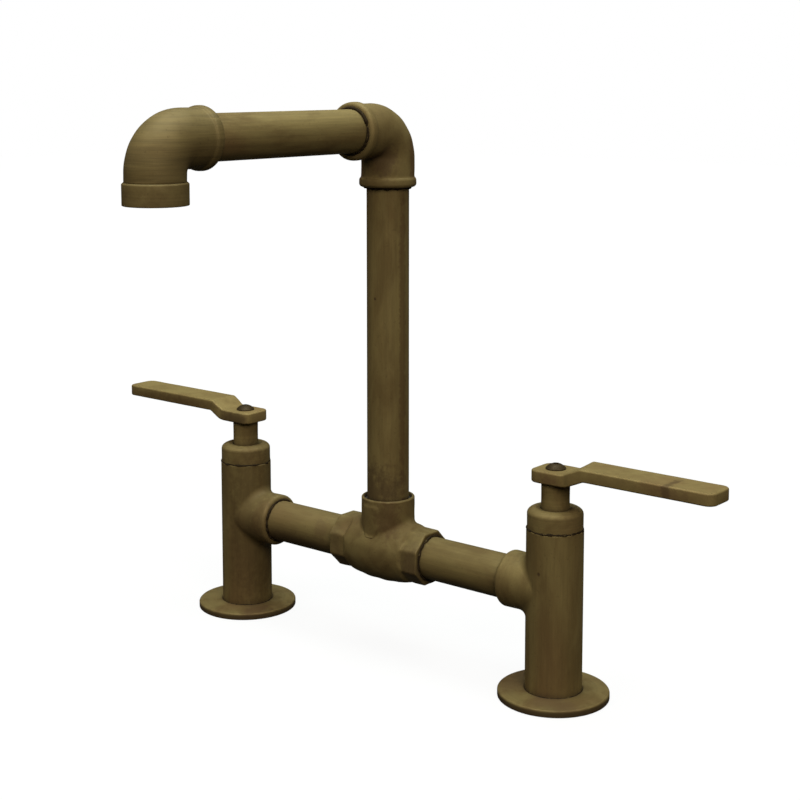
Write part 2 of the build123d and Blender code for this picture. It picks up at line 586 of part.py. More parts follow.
def swivel_seal_heights():
    """Heights of the riser's two rubber rings."""
    first = RISER_FOOT + SWIVEL_SEAL_PITCH / 2
    return [first, first + SWIVEL_SEAL_PITCH]


def swivel_seals():
    """The two rubber rings round the riser's foot."""
    inner, outer = PIPE_R - SWIVEL_GROOVE, SWIVEL_BORE_R - RUNNING_GAP / 2
    return Compound(children=[o_ring(inner, outer, z) for z in swivel_seal_heights()])


def spout_pipe():
    """Level pipe between the two elbows."""
    inset = ELBOW_CENTRE_TO_END - PIPE_ENGAGEMENT
    return along_y(tube(PIPE_OD, 2 * PIPE_BORE_R, inset, SPOUT_REACH - inset), SPOUT_HEIGHT)


def at_outlet(shape):
    """Moves a piece from the origin's axis to the outlet's."""
    return Pos(0, -SPOUT_REACH, 0) * shape


def outlet_ring():
    """Ring screwed on the front elbow's spigot; the aerator stands on the ledge round its mouth."""
    body = rod(OUTLET_OD, OUTLET_FOOT, OUTLET_TOP)
    body = chamfer(edges_at(body, OUTLET_TOP, OUTLET_OD / 2), OUTLET_EDGE)
    body = fillet(edges_at(body, OUTLET_FOOT, OUTLET_OD / 2), OUTLET_EDGE / 2)
    body -= rod(AERATOR_BORE - 2 * OUTLET_LEDGE, OUTLET_FOOT, OUTLET_TOP)
    body -= rod(AERATOR_BORE, AERATOR_FOOT, OUTLET_TOP)
    return at_outlet(body - rod(SPIGOT_OD + 2 * THREAD_GAP, OUTLET_SEAT, OUTLET_TOP))


def aerator_washer():
    """Flat rubber ring between the aerator and the spigot."""
    return at_outlet(tube(AERATOR_OD, ELBOW_BORE, AERATOR_TOP, OUTLET_SEAT))


def aerator_housing():
    """Cup of the aerator, open below and above, with a lip that carries the screen."""
    body = tube(AERATOR_OD, 2 * AERATOR_INSIDE_R, AERATOR_FOOT, AERATOR_TOP)
    lip_top = AERATOR_FOOT + SCREEN_THICKNESS / 2
    return at_outlet(body + tube(AERATOR_OD, 2 * (AERATOR_INSIDE_R - AERATOR_LIP), AERATOR_FOOT, lip_top))


def screen_holes(diameter, pitch, limit):
    """Centres of a triangular pattern of holes that stay inside a radius."""
    rows = int(limit / pitch) + 1
    centres = []
    for row in range(-rows, rows + 1):
        for column in range(-rows, rows + 1):
            x, y = (column + 0.5 * (row % 2)) * pitch, row * pitch * sqrt(3) / 2
            if sqrt(x * x + y * y) + diameter / 2 < limit:
                centres.append((x, y))
    return centres


def aerator_screen():
    """Perforated disc that lies on the housing's lip."""
    disc = Circle(AERATOR_INSIDE_R - THREAD_GAP)
    for x, y in screen_holes(SCREEN_HOLE, SCREEN_PITCH, AERATOR_INSIDE_R - AERATOR_LIP):
        disc -= Pos(x, y) * Circle(SCREEN_HOLE / 2)
    foot = AERATOR_FOOT + SCREEN_THICKNESS / 2
    return at_outlet(Pos(0, 0, foot) * extrude(disc, SCREEN_THICKNESS))


def flow_restrictor():
    """Plastic disc with a ring of jets at the top of the aerator."""
    foot = AERATOR_TOP - RESTRICTOR_THICKNESS
    disc = rod(2 * (AERATOR_INSIDE_R - THREAD_GAP), foot, AERATOR_TOP)
    for i in range(RESTRICTOR_HOLES):
        jet = Pos(RESTRICTOR_RING_R, 0, 0) * rod(RESTRICTOR_HOLE, foot, AERATOR_TOP)
        disc -= Rot(0, 0, 360 / RESTRICTOR_HOLES * i) * jet
    return at_outlet(disc)


# ---------------------------------------------------------------- write every piece
PILLAR_PIECES = {
    "pillar": pillar, "base_flange": base_flange, "deck_gasket": deck_gasket, "bonnet": bonnet,
    "cartridge_body": cartridge_body, "seat_seal": seat_seal,
    "fixed_disc": lambda: valve_disc(FIXED_DISC_FOOT, 0), "moving_disc": moving_disc,
    "spindle": spindle, "spindle_seals": spindle_seals, "stem_sleeve": stem_sleeve,
    "lever": lever, "lever_screw": lever_screw, "bridge_pipe": bridge_pipe,
}
CENTRE_PIECES = {
    "bridge_tee": bridge_tee, "swivel_bush": swivel_bush, "spout_retainer": spout_retainer,
    "riser_pipe": riser_pipe, "swivel_seals": swivel_seals, "rear_elbow": rear_elbow,
    "spout_pipe": spout_pipe, "front_elbow": front_elbow, "outlet_ring": outlet_ring,
    "aerator_washer": aerator_washer, "aerator_housing": aerator_housing,
    "aerator_screen": aerator_screen, "flow_restrictor": flow_restrictor,
}

for piece, make in PILLAR_PIECES.items():
    shape = make()
    save(f"left_{piece}", Pos(-VALVE_CENTRES / 2, 0, 0) * shape)
    save(f"right_{piece}", Pos(VALVE_CENTRES / 2, 0, 0) * Rot(0, 0, 180) * shape)
for piece, make in CENTRE_PIECES.items():
    save(piece, make())
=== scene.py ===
"""Looks of a bridge kitchen faucet in aged brass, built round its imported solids.

Sizes are in millimetres, as on the solids' drawing, and become metres when a mesh is made. X runs along the bridge,
Y from the spout's outlet to its riser, Z up from the deck.

Surfaces are grids of points worked out with numpy. Finishes are dataclasses that wire their own material out of
shared node groups. Faucet holds the sub-assemblies, and each makes its pieces and dresses its CAD nodes.
"""

import logging
import math
from dataclasses import dataclass, field
from enum import Enum

import bmesh
import bpy
import numpy as np
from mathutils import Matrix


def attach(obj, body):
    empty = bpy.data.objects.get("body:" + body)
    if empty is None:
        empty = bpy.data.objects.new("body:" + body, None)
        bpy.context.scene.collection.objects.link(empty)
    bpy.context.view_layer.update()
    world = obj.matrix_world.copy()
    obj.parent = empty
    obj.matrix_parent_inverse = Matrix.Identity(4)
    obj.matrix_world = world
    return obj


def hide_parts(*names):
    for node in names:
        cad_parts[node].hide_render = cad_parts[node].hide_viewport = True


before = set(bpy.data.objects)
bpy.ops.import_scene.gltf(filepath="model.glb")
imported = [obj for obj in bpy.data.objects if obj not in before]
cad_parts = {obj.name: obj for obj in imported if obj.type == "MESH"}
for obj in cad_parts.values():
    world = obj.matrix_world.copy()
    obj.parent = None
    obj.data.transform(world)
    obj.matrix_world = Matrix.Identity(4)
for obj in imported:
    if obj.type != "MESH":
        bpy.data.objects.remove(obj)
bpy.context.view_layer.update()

MM = 0.001
Colour = tuple[float, float, float, float]
Point = tuple[float, float, float]
Pair = tuple[float, float]
Triple = tuple[float, float, float]
Tree = bpy.types.NodeTree
Socket = bpy.types.NodeSocket
Feed = float | tuple[float, ...] | Socket
report = logging.getLogger("faucet")


# -------------------- surfaces
def turn(count: int) -> np.ndarray:
    """Angles of a full turn, the last one a step short of the first."""
    return np.linspace(0.0, 2.0 * math.pi, count, endpoint=False)


def arc(centre: Pair, radius: float, start: float, end: float, steps: int = 10) -> np.ndarray:
    """Points of an arc in a profile's plane: centre + radius * (cos a, sin a) for a from start to end.

    Args:
        centre: Centre of the arc.
        radius: Radius of the arc.
        start: First angle in degrees.
        end: Last angle in degrees.
        steps: Number of chords.

    Returns:
        Array of steps + 1 points.
    """
    a = np.radians(np.linspace(start, end, steps + 1))
    return np.stack([centre[0] + radius * np.cos(a), centre[1] + radius * np.sin(a)], axis=-1)


def run(start: Pair, end: Pair, steps: int = 1) -> np.ndarray:
    """Points of a straight run in a profile's plane, start + t * (end - start) for t from 0 to 1."""
    t = np.linspace(0.0, 1.0, steps + 1)[:, None]
    return (1.0 - t) * np.array(start, float) + t * np.array(end, float)


def bend_curve(start: Pair, knee: Pair, end: Pair, steps: int = 8) -> np.ndarray:
    """Points of a curve that leaves start towards knee and reaches end from knee: (1-t)^2 s + 2t(1-t) k + t^2 e."""
    t = np.linspace(0.0, 1.0, steps + 1)[:, None]
    return (1 - t) ** 2 * np.array(start) + 2 * t * (1 - t) * np.array(knee) + t ** 2 * np.array(end)


def path(*corners: Pair) -> np.ndarray:
    """Points of straight runs from corner to corner in a profile's plane."""
    return np.array(corners, float)


def profile(*runs: np.ndarray) -> np.ndarray:
    """Joins runs into one closed profile and drops points that repeat the one before.

    Args:
        runs: Points of each run, in order.

    Returns:
        Points of the profile.
    """
    points = np.concatenate(runs)
    step = np.linalg.norm(points - np.roll(points, 1, axis=0), axis=1)
    return points[step > 1e-4]


def unevenness(points: np.ndarray, size: float, depth: float, seed: int, waves: int = 28) -> np.ndarray:
    """Slight unevenness of a hand-finished surface: a sum of cosine waves through space.

    Each wave is cos(2 pi (d . p) / length + phase), with a seeded direction d, a length from size to 2.5 size, and a
    seeded phase. The sum is scaled so that depth is its root mean square.

    Args:
        points: Array of points, last axis x, y, z.
        size: Shortest wavelength.
        depth: Root mean square of the result.
        seed: Seed of the waves.
        waves: Number of waves.

    Returns:
        One offset for each point.
    """
    rng = np.random.default_rng(seed)
    directions = rng.normal(size=(waves, 3))
    directions /= np.linalg.norm(directions, axis=1, keepdims=True)
    lengths = rng.uniform(size, 2.5 * size, waves)
    phases = rng.uniform(0.0, 2.0 * math.pi, waves)
    swing = np.cos(points @ (directions * (2.0 * math.pi / lengths)[:, None]).T + phases)
    return depth * swing.sum(axis=-1) / math.sqrt(waves / 2.0)


def soft_ramp(x: np.ndarray, start: float, end: float, rounding: float) -> np.ndarray:
    """Rises from 0 at start to end - start at end with slope 1, each corner rounded by a parabola.

    The rounded corner of max(0, u) is (u + w)^2 / 4w while u is within w of 0.

    Args:
        x: Where to work it out.
        start: Foot of the ramp.
        end: Head of the ramp.
        rounding: Half length of each rounded corner.

    Returns:
        Height of the ramp at each x.
    """
    def corner(u: np.ndarray) -> np.ndarray:
        """Height of the rounded max(0, u)."""
        return np.where(np.abs(u) < rounding, (u + rounding) ** 2 / (4.0 * rounding), np.maximum(u, 0.0))

    return corner(x - start) - corner(x - end)


def smooth_min(a: np.ndarray, b: np.ndarray, blend: float) -> np.ndarray:
    """Lesser of a and b with the corner between them rounded: min(a, b) - h^2 / 4 blend, h = blend - |a - b|."""
    h = np.maximum(blend - np.abs(a - b), 0.0)
    return np.minimum(a, b) - h * h / (4.0 * blend)


def turned(outline: np.ndarray, centre: Pair, count: int = 128) -> np.ndarray:
    """A closed outline (radius, height) carried round an upright axis.

    The point at outline k and angle a is (cx + r_k cos a, cy + r_k sin a, z_k).

    Args:
        outline: Points (radius, height).
        centre: The axis's x and y.
        count: Steps round the axis.

    Returns:
        Grid of points, outline by angle.
    """
    a = turn(count)
    r, z = outline[:, :1], outline[:, 1:]
    return np.stack([centre[0] + r * np.cos(a), centre[1] + r * np.sin(a), z + 0.0 * a], axis=-1)


def put_in_scene(name: str, data: bpy.types.ID) -> bpy.types.Object:
    """Makes an object and links it to the scene.

    Args:
        name: Name of the object.
        data: The mesh, light or camera that it holds.

    Returns:
        The object.
    """
    made = bpy.data.objects.new(name, data)
    bpy.context.scene.collection.objects.link(made)
    return made


class Surface:
    """Grids of points in millimetres that become closed meshes."""

    def __init__(self, name: str) -> None:
        """Starts with no grids.

        Args:
            name: Name of the piece that it will be.
        """
        self.name = name
        self._points: list[np.ndarray] = []
        self._quads: list[np.ndarray] = []
        self._fans: list[np.ndarray] = []
        self._steps: list[tuple[str, "Surface"]] = []
        self._count = 0

    def add(self, grid: np.ndarray, ring_of_rings: bool = False, poles: bool = False) -> "Surface":
        """Adds a grid whose columns go round.

        Four neighbours (i, j), (i + 1, j), (i + 1, j + 1), (i, j + 1) make a face. The enclosed volume, the sum of
        p . (q x s) / 6 over the triangles, tells which way the faces look, and they are turned round where it is
        negative.

        Args:
            grid: Points, rows by columns.
            ring_of_rings: The rows close on themselves too, as on a tube's wall.
            poles: The first and last rows are closed by a point in their middle.

        Returns:
            This surface.
        """
        rows, columns = grid.shape[:2]
        points = grid.reshape(-1, 3)
        i, j = np.meshgrid(np.arange(rows if ring_of_rings else rows - 1), np.arange(columns), indexing="ij")
        below, beside = (i + 1) % rows, (j + 1) % columns
        quads = np.stack([i * columns + j, below * columns + j, below * columns + beside, i * columns + beside], -1)
        quads = quads.reshape(-1, 4)
        fans = np.zeros((0, 3), int)
        if poles:
            ring = np.arange(columns)
            first = np.stack([np.full(columns, len(points)), ring, (ring + 1) % columns], -1)
            last = np.stack([np.full(columns, len(points) + 1), (ring + 1) % columns, ring], -1)
            last[:, 1:] += (rows - 1) * columns
            fans = np.concatenate([first, last])
            points = np.concatenate([points, grid[0].mean(0)[None], grid[-1].mean(0)[None]])
        corners = np.concatenate([quads[:, [0, 1, 2]], quads[:, [0, 2, 3]], fans])
        p, q, s = (points[corners[:, k]] - points.mean(0) for k in range(3))
        if np.einsum("ij,ij->i", p, np.cross(q, s)).sum() < 0.0:
            quads, fans = quads[:, ::-1], fans[:, ::-1]
        self._points.append(points)
        self._quads.append(quads + self._count)
        self._fans.append(fans + self._count)
        self._count += len(points)
        return self

    def join(self, other: "Surface") -> "Surface":
        """Grows this surface together with another closed one, so that nothing of either is left inside."""
        self._steps.append(("UNION", other))
        return self

    def cut(self, other: "Surface") -> "Surface":
        """Takes the space of another closed surface away from this one."""
        self._steps.append(("DIFFERENCE", other))
        return self

    def _plain_mesh(self) -> bpy.types.Mesh:
        """Makes one mesh in metres out of the grids, with points that fall together made one.

        Returns:
            The mesh.
        """
        mesh = bpy.data.meshes.new(self.name)
        faces = np.concatenate(self._quads).tolist() + np.concatenate(self._fans).tolist()
        mesh.from_pydata((np.concatenate(self._points) * MM).tolist(), [], faces)
        draft = bmesh.new()
        draft.from_mesh(mesh)
        bmesh.ops.remove_doubles(draft, verts=draft.verts[:], dist=2e-7)
        draft.to_mesh(mesh)
        draft.free()
        return mesh

    def mesh(self) -> bpy.types.Mesh:
        """Makes the mesh, with its joins and cuts carried out in the order in which they were asked for.

        Returns:
            The mesh.
        """
        if not self._steps:
            return self._plain_mesh()
        body = put_in_scene(self.name, self._plain_mesh())
        tools = [put_in_scene(other.name, other._plain_mesh()) for _, other in self._steps]
        for (kind, _), tool in zip(self._steps, tools):
            step = body.modifiers.new(kind.lower(), "BOOLEAN")
            step.operation, step.solver, step.object = kind, "EXACT", tool
        done = bpy.data.meshes.new_from_object(body.evaluated_get(bpy.context.evaluated_depsgraph_get()))
        for holder in (body, *tools):
            bpy.data.objects.remove(holder)
        return done

    def piece(self, body: str, slot: str, node: str = "", sharp: float = 38.0) -> bpy.types.Object:
        """Makes the piece, smooth but for edges sharper than an angle, and lets it ride on a body.

        Args:
            body: CAD body that carries it.
            slot: The record's material slot; not used.
            node: CAD node that it stands for, if any.
            sharp: Angle in degrees above which an edge stays sharp.

        Returns:
            The piece.
        """
        mesh = self.mesh()
        mesh.name = self.name
        mesh.polygons.foreach_set("use_smooth", np.ones(len(mesh.polygons), bool))
        mesh.set_sharp_from_angle(angle=math.radians(sharp))
        mesh.update()
        made = put_in_scene(self.name, mesh)
        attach(made, body)
        if node:
            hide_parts(node)
        report.info("%s: %d faces on %s", self.name, len(mesh.polygons), body)
        return made


# -------------------- shader wiring
class Wiring:
    """Adds nodes to a tree and wires them."""

    def __init__(self, tree: Tree) -> None:
        """Takes the tree to work in and empties it."""
        self.tree = tree
        tree.nodes.clear()

    def node(self, kind: str, feeds: dict[str | int, Feed] | None = None, **settings: object) -> bpy.types.Node:
        """Adds a node.

        Args:
            kind: Node type.
            feeds: Input name or index to a value or a socket.
            settings: Properties of the node.

        Returns:
            The node.
        """
        made = self.tree.nodes.new(kind)
        for name, value in settings.items():
            setattr(made, name, value)
        for name, value in (feeds or {}).items():
            if isinstance(value, Socket):
                self.tree.links.new(value, made.inputs[name])
            else:
                made.inputs[name].default_value = value
        return made

    def calc(self, kind: str, a: Feed, b: Feed = 0.0, clamp: bool = False) -> Socket:
        """Result of a Math node of that operation on a and b."""
        return self.node("ShaderNodeMath", {0: a, 1: b}, operation=kind, use_clamp=clamp).outputs[0]

    def plus(self, a: Feed, b: Feed, clamp: bool = False) -> Socket:
        """Sum a + b."""
        return self.calc("ADD", a, b, clamp)

    def minus(self, a: Feed, b: Feed, clamp: bool = False) -> Socket:
        """Difference a - b."""
        return self.calc("SUBTRACT", a, b, clamp)

    def times(self, a: Feed, b: Feed, clamp: bool = False) -> Socket:
        """Product a b."""
        return self.calc("MULTIPLY", a, b, clamp)

    def radius(self, x: Feed, y: Feed) -> Socket:
        """Distance from the Z axis, sqrt(x^2 + y^2)."""
        return self.calc("SQRT", self.plus(self.calc("POWER", x, 2.0), self.calc("POWER", y, 2.0)))

    def blend(self, share: Feed, a: Feed, b: Feed, kind: str = "MIX") -> Socket:
        """Colour a with share of colour b mixed in."""
        feeds = {0: share, 6: a, 7: b}
        return self.node("ShaderNodeMix", feeds, data_type="RGBA", blend_type=kind, clamp_factor=True).outputs[2]

    def ramp(self, value: Feed, low: Feed, high: Feed, to_low: Feed = 0.0, to_high: Feed = 1.0) -> Socket:
        """Value taken smoothly from the range low to high onto the range to_low to to_high."""
        feeds = {"Value": value, "From Min": low, "From Max": high, "To Min": to_low, "To Max": to_high}
        return self.node("ShaderNodeMapRange", feeds, interpolation_type="SMOOTHSTEP").outputs[0]

    def noise(self, place: Feed, scale: Feed, detail: float = 2.0, rough: float = 0.5, twist: float = 0.0) -> Socket:
        """Value of a noise field, about 0.5, with scale in cells per metre."""
        feeds = {"Vector": place, "Scale": scale, "Detail": detail, "Roughness": rough, "Distortion": twist}
        return self.node("ShaderNodeTexNoise", feeds).outputs[0]

    def vector(self, kind: str, a: Feed, b: Feed) -> Socket:
        """Result of a Vector Math node of that operation on a and b, axis by axis."""
        return self.node("ShaderNodeVectorMath", {0: a, 1: b}, operation=kind).outputs[0]

    def length(self, a: Feed) -> Socket:
        """Length of a vector."""
        return self.node("ShaderNodeVectorMath", {0: a}, operation="LENGTH").outputs["Value"]

    def effect(self, group: Tree, feeds: dict[str, Feed]) -> bpy.types.Node:
        """Places a shared effect with its own values."""
        return self.node("ShaderNodeGroup", feeds, node_tree=group)

    def put_out(self, **results: Socket) -> Tree:
        """Wires results to a group's outputs.

        Args:
            results: Output name to its result.

        Returns:
            The group.
        """
        self.node("NodeGroupOutput", results)
        return self.tree

    def principled(self, height: Feed, strength: float, distance: float, feeds: dict[str, Feed]) -> None:
        """Ends a material in a Principled shader whose Normal comes from a Bump node.

        Args:
            height: The relief.
            strength: Strength of the Bump node.
            distance: Depth in metres that a height of 1 stands for.
            feeds: The shader's other inputs.
        """
        bump = self.node("ShaderNodeBump", {"Height": height, "Strength": strength, "Distance": distance}).outputs[0]
        shader = self.node("ShaderNodeBsdfPrincipled", {**feeds, "Normal": bump}).outputs[0]
        self.node("ShaderNodeOutputMaterial", {"Surface": shader})


def new_group(name: str, inputs: dict[str, Feed], outputs: dict[str, str]) -> tuple[Wiring, dict[str, Socket]]:
    """Starts a shader node group that takes a Place and more.

    Args:
        name: Name of the group.
        inputs: Input name to its starting value; a number, a colour of four or a place of three.
        outputs: Output name to its kind, Float, Color or Vector.

    Returns:
        The group's wiring, and its inputs' sockets by name.
    """
    tree = bpy.data.node_groups.new(name, "ShaderNodeTree")
    starts = {"Place": (0.0, 0.0, 0.0), **inputs}
    for label, start in starts.items():
        kind = {4: "Color", 3: "Vector"}.get(len(start) if isinstance(start, tuple) else 1, "Float")
        socket = tree.interface.new_socket(name=label, in_out="INPUT", socket_type=f"NodeSocket{kind}")
        socket.default_value = start
    for label, kind in outputs.items():
        tree.interface.new_socket(name=label, in_out="OUTPUT", socket_type=f"NodeSocket{kind}")
    wiring = Wiring(tree)
    source = wiring.node("NodeGroupInput")
    return wiring, {label: source.outputs[label] for label in starts}


def new_material(name: str) -> tuple[bpy.types.Material, Wiring]:
    """Starts a material.

    Args:
        name: Name of the material.

    Returns:
        The material and its wiring.
    """
    made = bpy.data.materials.new(name)
    made.use_nodes = True
    return made, Wiring(made.node_tree)


class Effects:
    """The shared shader effects, each built once."""

    def __init__(self) -> None:
        """Builds every group."""
        self.patina = self._patina()
        self.lines = self._lines()
        self.rings = self._rings()
        self.wear_highlight_and_shade = self._wear_highlight_and_shade()
        self.pits = self._pits()
        self.blot = self._blot()
        self.thread = self._thread()

    @staticmethod
    def _patina() -> Tree:
        """Cloudy patina: two fields of noise choose between three tones, and a third makes small freckles.

        Returns:
            The group.
        """
        start = {"Light": (0.2, 0.15, 0.07, 1.0), "Dark": (0.1, 0.07, 0.03, 1.0), "Blush": (0.14, 0.09, 0.05, 1.0),
                 "Cloud scale": 90.0, "Contrast": 1.0}
        w, given = new_group("patina", start, {"Tone": "Color", "Stain": "Float", "Freckle": "Float"})
        place, scale, contrast = given["Place"], given["Cloud scale"], given["Contrast"]
        reach = w.times(contrast, 0.5)
        stain = w.ramp(w.noise(place, scale, 4.0, 0.55, 0.4), 0.34, 0.68, w.minus(0.5, reach), w.plus(0.5, reach))
        drift = w.noise(w.vector("MULTIPLY", place, (1.0, 1.0, 0.8)), w.times(scale, 0.43), 2.0)
        blush = w.times(w.ramp(drift, 0.5, 0.72), contrast, clamp=True)
        freckle = w.ramp(w.noise(place, w.times(scale, 9.0), 2.0, 0.6), 0.6, 0.74)
        tone = w.blend(stain, given["Light"], given["Dark"])
        tone = w.blend(w.times(blush, 0.75), tone, given["Blush"])
        tone = w.blend(w.times(freckle, 0.22), tone, given["Dark"])
        return w.put_out(Tone=tone, Stain=stain, Freckle=freckle)

    @staticmethod
    def _lines() -> Tree:
        """Brushing lines: noise squeezed across the lines and stretched along them, coarse and fine together.

        Returns:
            The group.
        """
        w, given = new_group("brushed_lines", {"Squeeze": (900.0, 900.0, 25.0)}, {"Lines": "Float"})
        place = w.vector("MULTIPLY", given["Place"], given["Squeeze"])
        coarse, fine = w.noise(place, 1.0, 2.0, 0.5, 0.15), w.noise(place, 4.3, 2.0, 0.6)
        return w.put_out(Lines=w.plus(w.times(fine, 0.45), w.times(coarse, 0.55)))

    @staticmethod
    def _rings() -> Tree:
        """Turning marks: noise that changes fast with the distance from the axis and the height, slowly round it.

        Returns:
            The group.
        """
        w, given = new_group("turned_rings", {"Fineness": 1400.0}, {"Lines": "Float"})
        x, y, z = w.node("ShaderNodeSeparateXYZ", {0: given["Place"]}).outputs
        along = w.node("ShaderNodeCombineXYZ", {0: w.radius(x, y), 1: z}).outputs[0]
        fineness = w.node("ShaderNodeCombineXYZ", {0: given["Fineness"], 1: given["Fineness"]}).outputs[0]
        round_it = w.vector("MULTIPLY", given["Place"], (18.0, 18.0, 0.0))
        spread = w.vector("ADD", w.vector("MULTIPLY", along, fineness), round_it)
        return w.put_out(Lines=w.noise(spread, 1.0, 3.0, 0.6))

    @staticmethod
    def _wear_highlight_and_shade() -> Tree:
        """Edge and hollow masks from ambient occlusion, cast inwards for edges and outwards for hollows. The edge mask
        stands for wear and also for a painted highlight on edges; the hollow mask stands for soil and also for painted
        shade wherever other surfaces or the floor lie close.

        Returns:
            The group.
        """
        start = {"Edge width": 0.0009, "Hollow depth": 0.006, "Raggedness": 0.6}
        w, given = new_group("edge_and_hollow", start, {"Edge": "Float", "Hollow": "Float"})
        inside = w.node("ShaderNodeAmbientOcclusion", {"Distance": given["Edge width"]}, samples=4, inside=True,
                        only_local=True).outputs["AO"]
        outside = w.node("ShaderNodeAmbientOcclusion", {"Distance": given["Hollow depth"]}, samples=5).outputs["AO"]
        rag = w.ramp(w.noise(given["Place"], 700.0, 3.0, 0.6), 0.35, 0.65, w.minus(1.0, given["Raggedness"]), 1.0)
        return w.put_out(Edge=w.times(w.ramp(w.minus(1.0, inside), 0.12, 0.5), rag, clamp=True),
                         Hollow=w.ramp(w.minus(1.0, outside), 0.12, 0.85))

    @staticmethod
    def _pits() -> Tree:
        """Casting skin: fine sandy grain with a few small pits where a coarser noise runs high.

        Returns:
            The group.
        """
        start = {"Grain scale": 1500.0, "Pit share": 0.3}
        w, given = new_group("casting_skin", start, {"Height": "Float", "Pit": "Float"})
        grain = w.noise(given["Place"], given["Grain scale"], 3.0, 0.6)
        spots = w.noise(given["Place"], w.times(given["Grain scale"], 0.42), 1.0)
        pit = w.times(w.ramp(spots, 0.66, 0.78), given["Pit share"])
        return w.put_out(Height=w.minus(w.times(grain, 0.5), pit), Pit=pit)

    @staticmethod
    def _blot() -> Tree:
        """One stain or patch of painted shade: full within an ellipsoid round a centre, gone a little beyond it, with a
        wandering border.

        Returns:
            The group.
        """
        start = {"Centre": (0.0, 0.0, 0.0), "Reach": (0.01, 0.01, 0.01), "Wander": 1.6}
        w, given = new_group("blot", start, {"Mask": "Float"})
        far = w.length(w.vector("DIVIDE", w.vector("SUBTRACT", given["Place"], given["Centre"]), given["Reach"]))
        sway = w.minus(w.noise(given["Place"], 330.0, 3.0, 0.6), 0.5)
        return w.put_out(Mask=w.ramp(w.plus(far, w.times(sway, given["Wander"])), 0.45, 1.15, 1.0, 0.0))

    @staticmethod
    def _thread() -> Tree:
        """Pipe thread in a bore: |2 fract(z / pitch + angle / 2 pi) - 1| within a radius and below a depth.

        Returns:
            The group.
        """
        start = {"Radius": 0.0094, "Depth": 0.016, "Pitch": 0.0018}
        w, given = new_group("pipe_thread", start, {"Groove": "Float"})
        x, y, z = w.node("ShaderNodeSeparateXYZ", {0: given["Place"]}).outputs
        turns = w.calc("DIVIDE", w.calc("ARCTAN2", y, x), 2.0 * math.pi)
        phase = w.calc("FRACT", w.plus(w.calc("DIVIDE", z, given["Pitch"]), turns))
        wave = w.calc("ABSOLUTE", w.minus(w.times(phase, 2.0), 1.0))
        near = w.calc("LESS_THAN", w.radius(x, y), w.plus(given["Radius"], 0.0002))
        low = w.calc("LESS_THAN", z, given["Depth"])
        return w.put_out(Groove=w.times(wave, w.times(near, low)))


# -------------------- finishes
# Cells per metre along a brushed line, and the stretch of the clouds that run with the lines.
LONG_LINE = 16.0
LONG_CLOUD = 0.3


class Brush(Enum):
    """Which way a finish was brushed, with its lines' cells per metre; round Z the lines are rings of their own."""

    NONE = (260.0, 260.0, 260.0)
    ALONG_X = (LONG_LINE, 700.0, 700.0)
    ALONG_Y = (700.0, LONG_LINE, 700.0)
    ALONG_Z = (420.0, 420.0, LONG_LINE)
    LEVEL = (LONG_LINE, LONG_LINE, 520.0)
    ROUND_Z = (0.0, 0.0, 0.0)

    @property
    def cloud(self) -> Point:
        """Stretch of the patina's clouds, which run long where the brushing does."""
        return tuple(LONG_CLOUD if cells == LONG_LINE else 1.0 for cells in self.value)


@dataclass(frozen=True)
class Mark:
    """A stain, or a patch of painted shade, at one place of the object.

    Attributes:
        centre: Its middle, in mm.
        reach: Half its size along each axis, in mm.
        colour: Its colour.
        share: How much of its colour covers the finish.
        wander: How far its border strays.
    """

    centre: Point
    reach: Point
    colour: Colour = (0.06, 0.036, 0.014, 1.0)
    share: float = 0.6
    wander: float = 1.6


